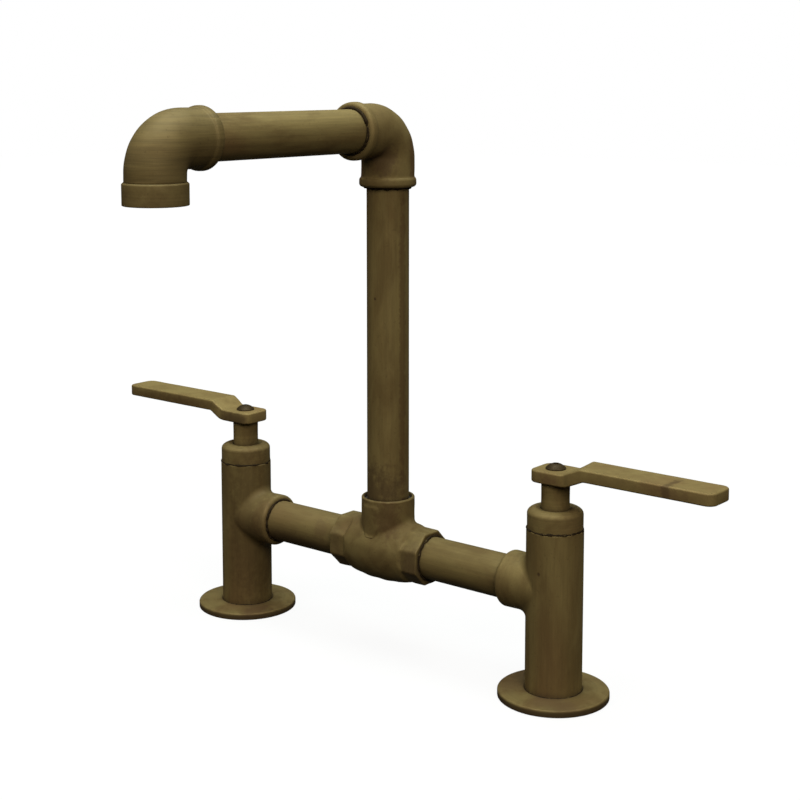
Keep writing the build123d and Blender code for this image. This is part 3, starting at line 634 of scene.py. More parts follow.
@dataclass(frozen=True)
class AgedBrass:
    """Aged brass: cloudy brown patina over olive brass, brushed, paler on its edges, dark in its hollows.

    Attributes:
        centre: The piece's middle or axis, in mm, from which clouds, lines and thread are measured.
        light: Colour of the patina where it is thin.
        dark: Colour of the patina where it is thick, and of the freckles.
        blush: Redder colour of some clouds.
        rubbed_and_highlight: Colour of worn edges, also a painted highlight where edges catch the light.
        grime_and_shade: Colour of the soil in hollows and pits, also of the painted shade where surfaces lie close.
        soiled_metallic: Share of metal in soiled places.
        contrast: How far the clouds part the tones.
        tone: Factor on the whole colour.
        line_share: How far the lines lighten and darken the colour.
        edge_share: How much of that colour shows on edges.
        grain: Height of the casting skin.
        pit_soil: How much soil its pits hold.
        soil_and_shade_share: How much the soil and the painted shade cover.
        hollow_depth: How far apart surfaces may be and still hold soil and painted shade, in mm.
        relief: Depth of the whole relief, in metres.
        thread: Radius, depth and pitch in mm of a pipe thread in a bore; radius 0 for none.
        thread_height: Height of the thread in the relief.
    """

    name: str
    brush: Brush = Brush.NONE
    centre: Point = (0.0, 0.0, 0.0)
    light: Colour = (0.215, 0.164, 0.061, 1.0)
    dark: Colour = (0.132, 0.09, 0.031, 1.0)
    blush: Colour = (0.155, 0.09, 0.036, 1.0)
    rubbed_and_highlight: Colour = (0.34, 0.265, 0.11, 1.0)
    grime_and_shade: Colour = (0.02, 0.012, 0.005, 1.0)
    metallic: float = 0.28
    soiled_metallic: float = 0.1
    roughness: float = 0.66
    specular: float = 0.25
    cloud_scale: float = 85.0
    contrast: float = 0.7
    tone: float = 1.0
    line_share: float = 0.16
    edge_share: float = 0.32
    grain: float = 0.35
    pit_soil: float = 0.6
    soil_and_shade_share: float = 0.85
    hollow_depth: float = 6.0
    relief: float = 0.00022
    marks: tuple[Mark, ...] = ()
    thread: Triple = (0.0, 0.0, 0.0)
    thread_height: float = 6.0

    def _strokes(self, w: Wiring, effects: Effects, place: Socket) -> Socket:
        """The brushing lines, straight or round the axis.

        Args:
            w: The material's wiring.
            effects: The shared effects.
            place: Place from the piece's centre.

        Returns:
            The lines, about 0.5.
        """
        if self.brush is Brush.ROUND_Z:
            return w.effect(effects.rings, {"Place": place}).outputs["Lines"]
        return w.effect(effects.lines, {"Place": place, "Squeeze": self.brush.value}).outputs["Lines"]

    def _stained_and_shaded(self, w: Wiring, effects: Effects, colour: Socket, place: Socket) -> Socket:
        """The colour with each mark laid over it, stains and painted shade alike.

        Args:
            w: The material's wiring.
            effects: The shared effects.
            colour: The colour before.
            place: Place on the whole object.

        Returns:
            The colour after.
        """
        for mark in self.marks:
            centre, reach = (tuple(c * MM for c in size) for size in (mark.centre, mark.reach))
            blot = w.effect(effects.blot, {"Place": place, "Centre": centre, "Reach": reach, "Wander": mark.wander})
            colour = w.blend(w.times(blot.outputs["Mask"], mark.share), colour, mark.colour)
        return colour

    def material(self, effects: Effects) -> bpy.types.Material:
        """Builds the finish.

        Args:
            effects: The shared effects.

        Returns:
            The material.
        """
        made, w = new_material(self.name)
        spot = w.node("ShaderNodeTexCoord").outputs["Object"]
        shift = tuple(-c * MM for c in self.centre)
        place = w.node("ShaderNodeMapping", {"Vector": spot, "Location": shift}).outputs[0]
        patina = w.effect(effects.patina, {
            "Place": w.vector("MULTIPLY", place, self.brush.cloud), "Light": self.light, "Dark": self.dark,
            "Blush": self.blush, "Cloud scale": self.cloud_scale, "Contrast": self.contrast})
        lines = self._strokes(w, effects, place)
        wear_highlight_and_shade = w.effect(effects.wear_highlight_and_shade, {"Place": place, "Hollow depth": self.hollow_depth * MM})
        skin = w.effect(effects.pits, {"Place": place})

        stroke = w.ramp(lines, 0.3, 0.7, self.tone * (1.0 + self.line_share), self.tone * (1.0 - self.line_share))
        shade = w.node("ShaderNodeCombineColor", {0: stroke, 1: stroke, 2: stroke}).outputs[0]
        colour = self._stained_and_shaded(w, effects, w.blend(1.0, patina.outputs["Tone"], shade, "MULTIPLY"), spot)
        # Edges lightened as wear and as a painted highlight.
        colour = w.blend(w.times(wear_highlight_and_shade.outputs["Edge"], self.edge_share), colour, self.rubbed_and_highlight)
        # Soil in hollows and pits, and painted shade wherever other surfaces or the floor lie close.
        soil_and_shade = w.plus(wear_highlight_and_shade.outputs["Hollow"], w.times(skin.outputs["Pit"], self.pit_soil), clamp=True)
        relief = w.plus(w.times(lines, self.line_share * 2.0), w.times(skin.outputs["Height"], self.grain))
        relief = w.minus(relief, w.times(patina.outputs["Freckle"], 0.1))
        if self.thread[0]:
            radius, depth, pitch = (size * MM for size in self.thread)
            groove = w.effect(effects.thread, {"Place": place, "Radius": radius, "Depth": depth,
                                               "Pitch": pitch}).outputs["Groove"]
            relief = w.minus(relief, w.times(groove, self.thread_height))
            soil_and_shade = w.plus(soil_and_shade, w.times(groove, 0.5), clamp=True)
        colour = w.blend(w.times(soil_and_shade, self.soil_and_shade_share), colour, self.grime_and_shade)

        rough = w.ramp(patina.outputs["Stain"], 0.0, 1.0, self.roughness - 0.06, self.roughness + 0.1)
        rough = w.minus(w.plus(rough, w.times(soil_and_shade, 0.3)), w.times(wear_highlight_and_shade.outputs["Edge"], 0.12), clamp=True)
        w.principled(relief, 0.5, self.relief, {
            "Base Color": colour, "Metallic": w.ramp(soil_and_shade, 0.0, 1.0, self.metallic, self.soiled_metallic),
            "Roughness": rough, "Specular IOR Level": self.specular})
        return made


@dataclass(frozen=True)
class JointDirtAndShade:
    """Dirt packed in a joint, also standing in as painted shade for a dark gap: near black, crumbly, with a few paler
    specks.
    """

    name: str = "joint_dirt_and_shade"
    colour: Colour = (0.024, 0.015, 0.006, 1.0)
    speck: Colour = (0.2, 0.15, 0.06, 1.0)
    speck_share: float = 0.4
    specular: float = 0.15
    grain_scale: float = 1900.0
    relief: float = 0.0003

    def material(self, effects: Effects) -> bpy.types.Material:
        """Builds the finish: specks where a noise runs high, and a crumbly relief from the casting skin.

        Args:
            effects: The shared effects.

        Returns:
            The material.
        """
        made, w = new_material(self.name)
        place = w.node("ShaderNodeTexCoord").outputs["Object"]
        skin = w.effect(effects.pits, {"Place": place, "Grain scale": self.grain_scale, "Pit share": 0.6})
        speck = w.ramp(w.noise(place, 420.0, 2.0, 0.6), 0.6, 0.7, 0.0, self.speck_share)
        w.principled(skin.outputs["Height"], 0.8, self.relief, {
            "Base Color": w.blend(speck, self.colour, self.speck), "Metallic": 0.1,
            "Roughness": w.ramp(speck, 0.0, 1.0, 0.85, 0.6), "Specular IOR Level": self.specular})
        return made


@dataclass(frozen=True)
class PlainFinish:
    """A finish of one substance with its own grain: clean brass, rubber, ceramic, plastic or steel."""

    name: str
    colour: Colour
    second: Colour
    metallic: float = 0.0
    roughness: float = 0.5
    squeeze: Point = (900.0, 900.0, 900.0)
    relief: float = 0.00008
    grime_and_shade: Colour = (0.02, 0.018, 0.015, 1.0)

    def material(self, effects: Effects) -> bpy.types.Material:
        """Builds the finish: a second tone and a fine relief follow the grain.

        Args:
            effects: The shared effects.

        Returns:
            The material.
        """
        made, w = new_material(self.name)
        place = w.node("ShaderNodeTexCoord").outputs["Object"]
        lines = w.effect(effects.lines, {"Place": place, "Squeeze": self.squeeze}).outputs["Lines"]
        wear_highlight_and_shade = w.effect(effects.wear_highlight_and_shade, {"Place": place, "Hollow depth": 0.003})
        colour = w.blend(w.ramp(lines, 0.35, 0.65), self.colour, self.second)
        # Hollows darkened as grime and as painted shade.
        w.principled(lines, 0.4, self.relief, {
            "Base Color": w.blend(w.times(wear_highlight_and_shade.outputs["Hollow"], 0.5), colour, self.grime_and_shade),
            "Metallic": self.metallic, "Roughness": w.ramp(lines, 0.3, 0.7, self.roughness - 0.05,
                                                           self.roughness + 0.07)})
        return made


Finish = AgedBrass | JointDirtAndShade | PlainFinish


class Paintbox:
    """Mixes each finish once and puts it on pieces and CAD nodes."""

    def __init__(self) -> None:
        """Builds the shared effects."""
        self.effects = Effects()
        self._mixed: dict[str, bpy.types.Material] = {}

    def mix(self, finish: Finish) -> bpy.types.Material:
        """Gives the finish's material, built the first time that it is asked for.

        Args:
            finish: The finish.

        Returns:
            Its material.
        """
        if finish.name not in self._mixed:
            self._mixed[finish.name] = finish.material(self.effects)
        return self._mixed[finish.name]

    def node(self, node: str, finish: Finish) -> None:
        """Puts the finish on every slot of a CAD node.

        Args:
            node: Name of the node.
            finish: The finish.
        """
        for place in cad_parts[node].material_slots:
            place.material = self.mix(finish)
        report.info("%s: dressed in %s", node, finish.name)

    def piece(self, piece: bpy.types.Object, finish: Finish) -> None:
        """Puts the finish on a new piece.

        Args:
            piece: The piece.
            finish: The finish.
        """
        piece.data.materials.clear()
        piece.data.materials.append(self.mix(finish))
        report.info("%s: dressed in %s", piece.name, finish.name)


# -------------------- stage
@dataclass(frozen=True)
class Lamp:
    """A square soft lamp: power in watts, side in metres, its place, the point that it faces, and its tint."""

    name: str
    power: float
    size: float
    place: Point
    aim: Point
    tint: Point

    def build(self) -> None:
        """Hangs the lamp and turns it towards its aim."""
        light = bpy.data.lights.new(self.name, "AREA")
        light.energy, light.size, light.color = self.power, self.size, self.tint
        lamp = put_in_scene(self.name, light)
        lamp.location = self.place
        x, y, z = np.array(self.aim) - np.array(self.place)
        lamp.rotation_euler = (math.pi / 2.0 + math.atan2(z, math.hypot(x, y)), 0.0, math.atan2(-x, y))


@dataclass
class Studio:
    """Pale floor, soft light from above, a weak fill from either side, and the photograph's camera."""

    floor_width: float = 8.0
    floor_height: float = -0.0002
    floor_seen: Colour = (0.9, 0.9, 0.9, 1.0)
    floor_bounce: Colour = (0.014, 0.012, 0.008, 1.0)
    floor_fade: Pair = (0.35, 1.3)
    white: Colour = (1.0, 1.0, 1.0, 1.0)
    white_share: float = 0.9
    white_in_metal: float = 0.06
    world_fill: Colour = (0.016, 0.013, 0.009, 1.0)
    lamps: tuple[Lamp, ...] = (
        Lamp("overhead_softbox", 47.0, 1.6, (0.0, -0.05, 1.9), (0.0, -0.05, 0.1), (0.92, 1.0, 0.96)),
        Lamp("right_fill", 12.8, 0.7, (1.12, -0.82, 1.0), (0.0, -0.05, 0.13), (1.0, 0.89, 0.76)),
        Lamp("left_fill", 5.0, 0.7, (-0.35, -1.2, 1.05), (0.0, -0.05, 0.13), (1.0, 0.89, 0.76)))
    camera_place: Point = (0.4886, -0.59274, 0.29377)
    camera_pitch: float = -6.7467
    camera_turn: float = 39.0458
    camera_range: Pair = (0.01, 50.0)
    lens: float = 69.407
    film: float = 36.0
    shift: float = -0.18

    def build(self) -> None:
        """Builds floor, world, lamps and camera."""
        self._floor()
        self._world()
        for lamp in self.lamps:
            lamp.build()
        self._camera()

    def _white_where(self, w: Wiring, camera_share: float) -> Socket:
        """Share of white: full for the camera and through glass, less in metal, none for the light on the object.

        Args:
            w: Wiring of the floor's or the world's material.
            camera_share: Share of white that the camera sees.

        Returns:
            The share.
        """
        rays = w.node("ShaderNodeLightPath").outputs
        seen = w.times(rays["Is Camera Ray"], camera_share)
        metal = w.times(rays["Is Glossy Ray"], self.white_in_metal)
        return w.plus(w.plus(seen, metal), rays["Is Transmission Ray"], clamp=True)

    def _floor(self) -> None:
        """Lays a wide flat floor that looks white and keeps the object's shadow."""
        half = self.floor_width / 2.0
        mesh = bpy.data.meshes.new("floor")
        corners = [(-half, -half), (half, -half), (half, half), (-half, half)]
        mesh.from_pydata([(x, y, self.floor_height) for x, y in corners], [], [(0, 1, 2, 3)])
        put_in_scene("floor", mesh)
        paint, w = new_material("white_floor")
        seen = w.node("ShaderNodeLightPath").outputs["Is Camera Ray"]
        own = w.node("ShaderNodeBsdfDiffuse", {"Color": w.blend(seen, self.floor_bounce, self.floor_seen)}).outputs[0]
        far = w.length(w.node("ShaderNodeTexCoord").outputs["Object"])
        glow = w.ramp(far, *self.floor_fade, 1.0, 1.0 / self.white_share)
        white = w.node("ShaderNodeEmission", {"Color": self.white, "Strength": glow}).outputs[0]
        share = self._white_where(w, self.white_share)
        mix = w.node("ShaderNodeMixShader", {0: share, 1: own, 2: white}).outputs[0]
        w.node("ShaderNodeOutputMaterial", {"Surface": mix})
        mesh.materials.append(paint)

    def _world(self) -> None:
        """Puts white behind everything for the camera, and a weak warm fill round the object."""
        world = bpy.data.worlds.new("studio")
        bpy.context.scene.world = world
        world.use_nodes = True
        w = Wiring(world.node_tree)
        fill = w.node("ShaderNodeBackground", {"Color": self.world_fill, "Strength": 1.0}).outputs[0]
        white = w.node("ShaderNodeBackground", {"Color": self.white, "Strength": 1.0}).outputs[0]
        mix = w.node("ShaderNodeMixShader", {0: self._white_where(w, 1.0), 1: fill, 2: white}).outputs[0]
        w.node("ShaderNodeOutputWorld", {"Surface": mix})

    def _camera(self) -> None:
        """Sets up the camera at the photograph's viewing angle."""
        lens = bpy.data.cameras.new("camera")
        lens.lens, lens.sensor_width, lens.shift_y = self.lens, self.film, self.shift
        lens.clip_start, lens.clip_end = self.camera_range
        camera = put_in_scene("camera", lens)
        camera.location = self.camera_place
        camera.rotation_euler = (math.radians(90.0 + self.camera_pitch), 0.0, math.radians(self.camera_turn))
        bpy.context.scene.camera = camera
        bpy.context.scene.view_settings.view_transform = "Standard"


# -------------------- this faucet's shared sizes and plain finishes
# Half the pillars' spacing, heights of the bridge's and the spout's pipe, the outlet's place in front of the riser,
# the pipe's radius, and the way from an elbow's corner to its mouth.
VALVE_X = 101.6
BRIDGE_Z = 52.6
SPOUT_Z = 266.05
OUTLET_Y = -153.9
PIPE_R = 10.655
ELBOW_REACH = 28.3

# Its marks darken the middle of each lever screw's head: painted shade in the hex socket.
SCREW_FINISH = AgedBrass("screw_bronze", light=(0.062, 0.043, 0.017, 1.0), dark=(0.024, 0.015, 0.006, 1.0),
                         blush=(0.04, 0.024, 0.01, 1.0), rubbed_and_highlight=(0.2, 0.15, 0.07, 1.0), roughness=0.52, specular=0.12,
                         line_share=0.05, grain=0.2, hollow_depth=3.0, marks=tuple(
                             Mark((x, 0.0, 113.2), (2.5, 2.5, 0.8), (0.008, 0.005, 0.003, 1.0), 0.85)
                             for x in (-VALVE_X, VALVE_X)))
CLEAN_BRASS = PlainFinish("machined_brass", (0.62, 0.46, 0.2, 1.0), (0.5, 0.36, 0.15, 1.0), 1.0, 0.28,
                          (60.0, 60.0, 1800.0))
RUBBER = PlainFinish("black_rubber", (0.02, 0.02, 0.021, 1.0), (0.034, 0.033, 0.032, 1.0), 0.0, 0.68)
CERAMIC = PlainFinish("lapped_ceramic", (0.82, 0.81, 0.76, 1.0), (0.74, 0.73, 0.68, 1.0), 0.0, 0.16, relief=0.00002)
PLASTIC = PlainFinish("moulded_plastic", (0.66, 0.65, 0.6, 1.0), (0.58, 0.57, 0.53, 1.0), 0.0, 0.42)
DARK_BUSH = PlainFinish("dark_bush", (0.05, 0.042, 0.034, 1.0), (0.032, 0.027, 0.022, 1.0), 0.0, 0.5)
STEEL = PlainFinish("steel_mesh", (0.55, 0.55, 0.54, 1.0), (0.42, 0.42, 0.42, 1.0), 1.0, 0.3)


# -------------------- pieces of the faucet
@dataclass
class Elbow:
    """Cast elbow: a wall's profile carried up a leg, round a quarter bend and out along a level leg.

    Attributes:
        corner: The y and z at which the two legs' axes meet.
        towards: 1 where the level leg runs back, -1 where it runs forward.
        lower_leg: Length of the lower leg from the corner.
        spigot: The lower leg ends in a spigot, and else in a beaded mouth.
        bead_root: How far the bead runs out onto the body.
        wave: Shortest wavelength of the unevenness.
        unevenness: Its root mean square.
        lump: The most that it may move the skin.
        margin: How far from both ends it stops.
    """

    name: str
    corner: Pair
    towards: float
    lower_leg: float
    spigot: bool
    seed: int
    brush: Brush = Brush.NONE
    line_share: float = 0.06
    tone: float = 1.0
    stains_and_shade: tuple[Mark, ...] = ()
    body: str = "spout"
    outer_r: float = 13.32
    bead_r: float = 14.25
    bead_width: float = 5.3
    bead_round: float = 1.9
    bead_root: float = 0.9
    level_leg: float = ELBOW_REACH
    bend_r: float = 14.2
    bore_r: float = 8.2
    socket_r: float = 10.695
    engagement: float = 13.0
    lead_in: float = 0.4
    spigot_r: float = 11.9
    spigot_length: float = 2.8
    spigot_round: float = 0.25
    wave: float = 7.0
    unevenness: float = 0.055
    lump: float = 0.12
    margin: float = 0.3

    def _mouth(self) -> np.ndarray:
        """Traces a beaded mouth, from the bore's step out and round to the bead's root.

        Returns:
            Points (distance from the mouth, radius).
        """
        core, far = self.bead_r - self.bead_round, self.bead_width - self.bead_round
        shoulder = arc((far, core), self.bead_round, 90.0, 40.0, 6)
        root = (self.bead_width + self.bead_root, self.outer_r)
        return profile(run((self.engagement, self.bore_r), (self.engagement, self.socket_r)),
                       run((self.engagement, self.socket_r), (self.lead_in, self.socket_r), 5),
                       path((0.0, self.socket_r + self.lead_in), (0.0, core)),
                       arc((self.bead_round, core), self.bead_round, 180.0, 90.0, 9), shoulder,
                       bend_curve(tuple(shoulder[-1]), (self.bead_width - 0.1, self.outer_r), root, 6))

    def _spigot(self) -> np.ndarray:
        """Traces a spigot end, from the bore out to the body.

        Returns:
            Points (distance from the body's end, radius).
        """
        tip, edge, corner = -self.spigot_length, self.spigot_round, self.outer_r - self.spigot_round
        return profile(path((tip, self.bore_r), (tip, self.spigot_r), (0.0, self.spigot_r), (0.0, corner)),
                       arc((edge, corner), edge, 180.0, 90.0, 3))

    def grid(self, count: int = 112) -> np.ndarray:
        """The wall, whose point at station (s, r) and angle a is c(s) + r (cos a x + sin a n(s)).

        c(s) runs up the lower leg, round the bend and out; n(s) is the direction square to it in the elbow's plane.
        The outer skin also moves in or out by the unevenness.

        Args:
            count: Steps round the wall.

        Returns:
            Grid of points, station by angle.
        """
        straight = self.lower_leg - self.bend_r
        length = straight + self.bend_r * math.pi / 2.0 + self.level_leg - self.bend_r
        first = self._spigot() if self.spigot else self._mouth()
        last = self._mouth()[::-1] * (-1.0, 1.0) + (length, 0.0)
        skin = run(tuple(first[-1]), tuple(last[0]), 44)
        stations = profile(first, skin, last)
        s, r = stations[:, :1], stations[:, 1:]
        swing = np.clip((s - straight) / self.bend_r, 0.0, math.pi / 2.0)
        beyond = np.minimum(s - straight, 0.0) + np.maximum(s - straight - self.bend_r * math.pi / 2.0, 0.0)
        along_y, along_z = np.sin(swing), np.cos(swing)
        centre_y = self.bend_r * (1.0 - along_z) + beyond * along_y
        centre_z = self.bend_r * (along_y - 1.0) + beyond * along_z
        a = turn(count)
        outer = (r > self.outer_r - 0.1) & (s > self.margin) & (s < length - self.margin)

        def place(radius: np.ndarray) -> np.ndarray:
            """Places the wall's points at those radii.

            Args:
                radius: Radii, station by angle or by one.

            Returns:
                Grid of points.
            """
            y = centre_y - radius * np.sin(a) * along_z
            z = centre_z + radius * np.sin(a) * along_y
            return np.stack([radius * np.cos(a), self.corner[0] + self.towards * y, self.corner[1] + z], axis=-1)

        lumps = unevenness(place(r + 0.0 * a), self.wave, self.unevenness, self.seed)
        return place(r + np.where(outer, np.clip(lumps, -self.lump, self.lump), 0.0))

    def build(self, paints: Paintbox) -> None:
        """Makes the elbow and dresses it.

        Args:
            paints: The finishes.
        """
        surface = Surface(f"{self.name}_casting").add(self.grid(), ring_of_rings=True)
        finish = AgedBrass(f"{self.name}_brass", self.brush, cloud_scale=60.0, contrast=0.5, tone=self.tone,
                           line_share=self.line_share, edge_share=0.12, grain=0.6, marks=self.stains_and_shade)
        paints.piece(surface.piece(self.body, "cast_brass", self.name), finish)
        paints.node(self.name, finish)


@dataclass
class Tee:
    """Cast tee: a bulged run with eight-sided collars, and a socket that grows out of it through a soft fillet.

    Attributes:
        flat_r: Distance from the axis to a collar's flats.
        runout_slope: How fast the flats run out into the bulge.
        runout_blend: How softly bulge and flats meet.
        runout_reach: How far in and out of the collar's inner edge the stations lie close.
        fillet_sunk: How deep the fillet's foot lies in the run, for a clean join.
        plug_r: Radius of the innermost ring of the socket's plug.
        plug_foot: Height of the plug's foot above the run's axis.
        plug_step: How far the plug turns in and down below the fillet's foot.
        pad_angle: Angle of the plain pad's middle round the socket, in degrees.
        pad_half: Half its angle.
        pad_side: The angle over which its sides fade.
        pad_top: How far below the socket's top it ends, and the height over which it fades there.
        pad_toe: Its toe above the run's axis, the toe's climb per square degree, and the height of its fade.
        swivel_core_r: Radius of the innermost ring of the swivel's bore.
        flare: How deep the rim's flare starts, how far it goes beyond the rim, and how far the cut goes above.
        lock_hole: Radius and height of the retaining screw's hole.
        lock_run: Where that hole starts and ends along Y.
        lumps: The least and the most that the unevenness may move the skin.
    """

    axis_z: float = BRIDGE_Z
    half_run: float = 28.45
    bulge_r: float = 16.4
    flat_r: float = 13.2
    sides: int = 8
    collar_width: float = 9.6
    corner_round: float = 1.3
    end_round: float = 0.7
    runout_slope: float = 0.9
    runout_blend: float = 0.45
    runout_reach: Pair = (3.2, 0.8)
    bore_r: float = 8.5
    mouth_r: float = 10.695
    engagement: float = 13.0
    lead_in: float = 0.9
    socket_r: float = 13.58
    socket_top: float = 79.9
    socket_bore_r: float = 11.665
    rim: float = 0.8
    fillet: float = 3.2
    fillet_sunk: float = 0.04
    plug_r: float = 6.0
    plug_foot: float = 8.0
    plug_step: Pair = (2.2, 3.4)
    pad_angle: float = -94.0
    pad_half: float = 24.0
    pad_height: float = 0.5
    pad_side: float = 5.0
    pad_top: Pair = (2.2, 1.5)
    pad_toe: Triple = (6.6, 0.012, 1.2)
    swivel_bore_r: float = 10.715
    swivel_foot: float = 58.94
    swivel_core_r: float = 4.0
    bush_foot: float = 68.0
    flare: Triple = (0.9, 0.3, 0.44)
    lock_hole: Pair = (2.04, 73.0)
    lock_run: Pair = (9.0, 16.0)
    stains_and_shade: tuple[Mark, ...] = (
        Mark((25.0, -9.0, 49.0), (6.5, 13.0, 17.0), (0.08, 0.05, 0.025, 1.0), 0.45),
        Mark((-25.0, -12.0, 49.0), (6.0, 9.0, 14.0), (0.09, 0.058, 0.026, 1.0), 0.4),
        Mark((9.5, -12.0, 72.0), (9.0, 8.0, 13.0), (0.085, 0.048, 0.018, 1.0), 0.65))
    wave: float = 6.0
    unevenness: float = 0.07
    lumps: Pair = (-0.15, 0.1)
    seed: int = 31

    def _bulge(self, x: np.ndarray) -> np.ndarray:
        """Radius of the run's body, an arc from collar to collar: b - c + sqrt(c^2 - x^2).

        Args:
            x: Distance from the run's middle.

        Returns:
            The radius.
        """
        inner = self.half_run - self.collar_width
        collar_r = self.flat_r / math.cos(math.pi / self.sides)
        rise = self.bulge_r - collar_r
        curve = (inner ** 2 + rise ** 2) / (2.0 * rise)
        return self.bulge_r - curve + np.sqrt(curve ** 2 - np.minimum(np.abs(x), inner) ** 2)

    def _octagon(self, angle: np.ndarray, flat_r: np.ndarray) -> np.ndarray:
        """Distance from the axis to an eight-sided outline with rounded corners, at each angle.

        On a flat it is f / cos d, with d the angle from the flat's middle. On a corner it is where the ray meets the
        corner's circle: c cos e + sqrt(q^2 - c^2 sin^2 e), with e the angle from the corner.

        Args:
            angle: Angle round the run.
            flat_r: Distance f from the axis to the flats.

        Returns:
            The distance.
        """
        half = math.pi / self.sides
        off = np.abs((angle + half) % (2.0 * half) - half)
        flat = flat_r / np.cos(off)
        centre = (flat_r - self.corner_round) / math.cos(half)
        across = centre * np.sin(half - off)
        corner = centre * np.cos(half - off) + np.sqrt(np.maximum(self.corner_round ** 2 - across ** 2, 0.0))
        on_flat = flat * np.sin(off) < (flat_r - self.corner_round) * math.tan(half)
        return np.where(on_flat, flat, corner)

    def skin(self, x: np.ndarray, angle: np.ndarray) -> np.ndarray:
        """Outer radius of the run: the lesser of bulge and collar outline, softly joined, rounded at the ends.

        Args:
            x: Distance from the run's middle.
            angle: Angle round the run.

        Returns:
            The radius.
        """
        inner = self.half_run - self.collar_width
        flat_r = self.flat_r + self.runout_slope * np.maximum(inner - np.abs(x), 0.0)
        radius = smooth_min(self._bulge(x), self._octagon(angle, flat_r), self.runout_blend)
        past = np.maximum(np.abs(x) - (self.half_run - self.end_round), 0.0)
        return radius - self.end_round + np.sqrt(np.maximum(self.end_round ** 2 - past ** 2, 0.0))

    def _run(self, count: int = 160) -> np.ndarray:
        """The run's wall: at station (x, r) and angle a the point (x, r cos a, axis + r sin a), r outside from skin.

        Args:
            count: Steps round the run.

        Returns:
            Grid of points, station by angle.
        """
        e, h, inner = self.end_round, self.half_run, self.half_run - self.collar_width
        before, after = inner - self.runout_reach[0], inner + self.runout_reach[1]
        end = h - e + e * np.sin(np.linspace(0.0, math.pi / 2.0, 6))
        side = np.concatenate([np.linspace(0.0, before, 18)[1:], np.linspace(before, after, 14)[1:],
                               np.linspace(after, h - e, 9)[1:-1], end])
        x = np.concatenate([-side[::-1], [0.0], side])[:, None]
        a = turn(count)
        outer = self.skin(x, a)
        rough = unevenness(np.stack([x + 0 * a, outer * np.cos(a), outer * np.sin(a)], axis=-1), self.wave,
                           self.unevenness, self.seed)
        outer = outer + np.clip(rough, *self.lumps) * np.where(np.abs(x) > h - 0.1, 0.0, 1.0)
        inside = profile(run((h, self.mouth_r + self.lead_in), (h - self.lead_in, self.mouth_r)),
                         run((h - self.lead_in, self.mouth_r), (h - self.engagement, self.mouth_r), 4),
                         run((h - self.engagement, self.mouth_r), (h - self.engagement, self.bore_r)))
        inside = np.concatenate([inside, inside[::-1] * (-1.0, 1.0)])
        x = np.concatenate([x, inside[:, :1]]) + 0.0 * a
        r = np.concatenate([outer, inside[:, 1:] + 0.0 * a])
        return np.stack([x, r * np.cos(a), self.axis_z + r * np.sin(a)], axis=-1)

    def _height(self, radius: np.ndarray, angle: np.ndarray) -> np.ndarray:
        """Height of the run's skin above its axis, at a distance and angle from the socket's axis."""
        x, y = radius * np.cos(angle), radius * np.sin(angle)
        return np.sqrt(np.maximum(self._bulge(x) ** 2 - y ** 2, 0.0))

    def _pad(self, angle: np.ndarray, z: np.ndarray) -> np.ndarray:
        """How far the plain pad stands out of the socket's wall.

        It is full within its angle, below the rim and above a toe that climbs with the square of the angle. Its sides
        and top fade as u^2 (3 - 2u).

        Args:
            angle: Angle round the socket.
            z: Height of the points.

        Returns:
            The height of the pad.
        """
        off = np.abs((np.degrees(angle) - self.pad_angle + 180.0) % 360.0 - 180.0)
        (drop, fade), (foot, climb, rise) = self.pad_top, self.pad_toe
        share = np.clip((self.pad_half - off) / self.pad_side, 0.0, 1.0)
        share = share * np.clip((self.socket_top - drop - z) / fade, 0.0, 1.0)
        toe = np.clip((z - (self.axis_z + foot + climb * off ** 2)) / rise, 0.0, 1.0)
        return self.pad_height * share ** 2 * (3.0 - 2.0 * share) * toe

    def _socket(self, count: int = 160) -> np.ndarray:
        """The socket as a plug, from the middle of its top down outside and out through the fillet onto the run.

        At each angle the fillet is the curve (1-t)^2 B + 2t(1-t) J + t^2 A: J is where wall and run would meet, B
        lies above it on the wall and A beside it on the run, both as far from J as a rolling ball would touch.

        Args:
            count: Steps round the socket.

        Returns:
            Grid of points, station by angle.
        """
        a = turn(count)
        z0, rs, rim_r = self.axis_z, self.socket_r, self.socket_r - self.rim
        meet = self._height(rs + 0 * a, a)
        slope = np.arctan((meet - self._height(rs + 0.2 + 0 * a, a)) / 0.2)
        reach = self.fillet * np.tan((math.pi / 2.0 - slope) / 2.0)
        foot_r = rs + reach * np.cos(slope)
        foot = self._height(foot_r, a) - self.fillet_sunk
        t = np.linspace(0.0, 1.0, 13)[:, None]
        curve_r = (1 - t) ** 2 * rs + 2 * t * (1 - t) * rs + t ** 2 * foot_r
        curve_z = z0 + (1 - t) ** 2 * (meet + reach) + 2 * t * (1 - t) * meet + t ** 2 * foot
        wall = np.linspace(0.0, 1.0, 22)[:, None]
        wall_z = (self.socket_top - self.rim) * (1 - wall) + (z0 + meet + reach) * wall
        edge = profile(run((self.plug_r, self.socket_top), (rim_r, self.socket_top), 2),
                       arc((rim_r, self.socket_top - self.rim), self.rim, 90.0, 8.0, 5))
        r = np.concatenate([edge[:, :1] + 0 * a, rs + 0 * wall_z, curve_r[1:], foot_r[None] - self.plug_step[0],
                            np.full((1, count), self.plug_r)])
        z = np.concatenate([edge[:, 1:] + 0 * a, wall_z, curve_z[1:], z0 + foot[None] - self.plug_step[1],
                            np.full((1, count), z0 + self.plug_foot)])
        rough = unevenness(np.stack([r * np.cos(a), r * np.sin(a), z - z0], axis=-1), self.wave, self.unevenness,
                           self.seed)
        below_rim = z < self.socket_top - self.rim - 0.2
        r = r + np.where(r > rs - 0.05, self._pad(a, z) + np.clip(rough, *self.lumps) * below_rim, 0.0)
        return np.stack([r * np.cos(a), r * np.sin(a), z], axis=-1)

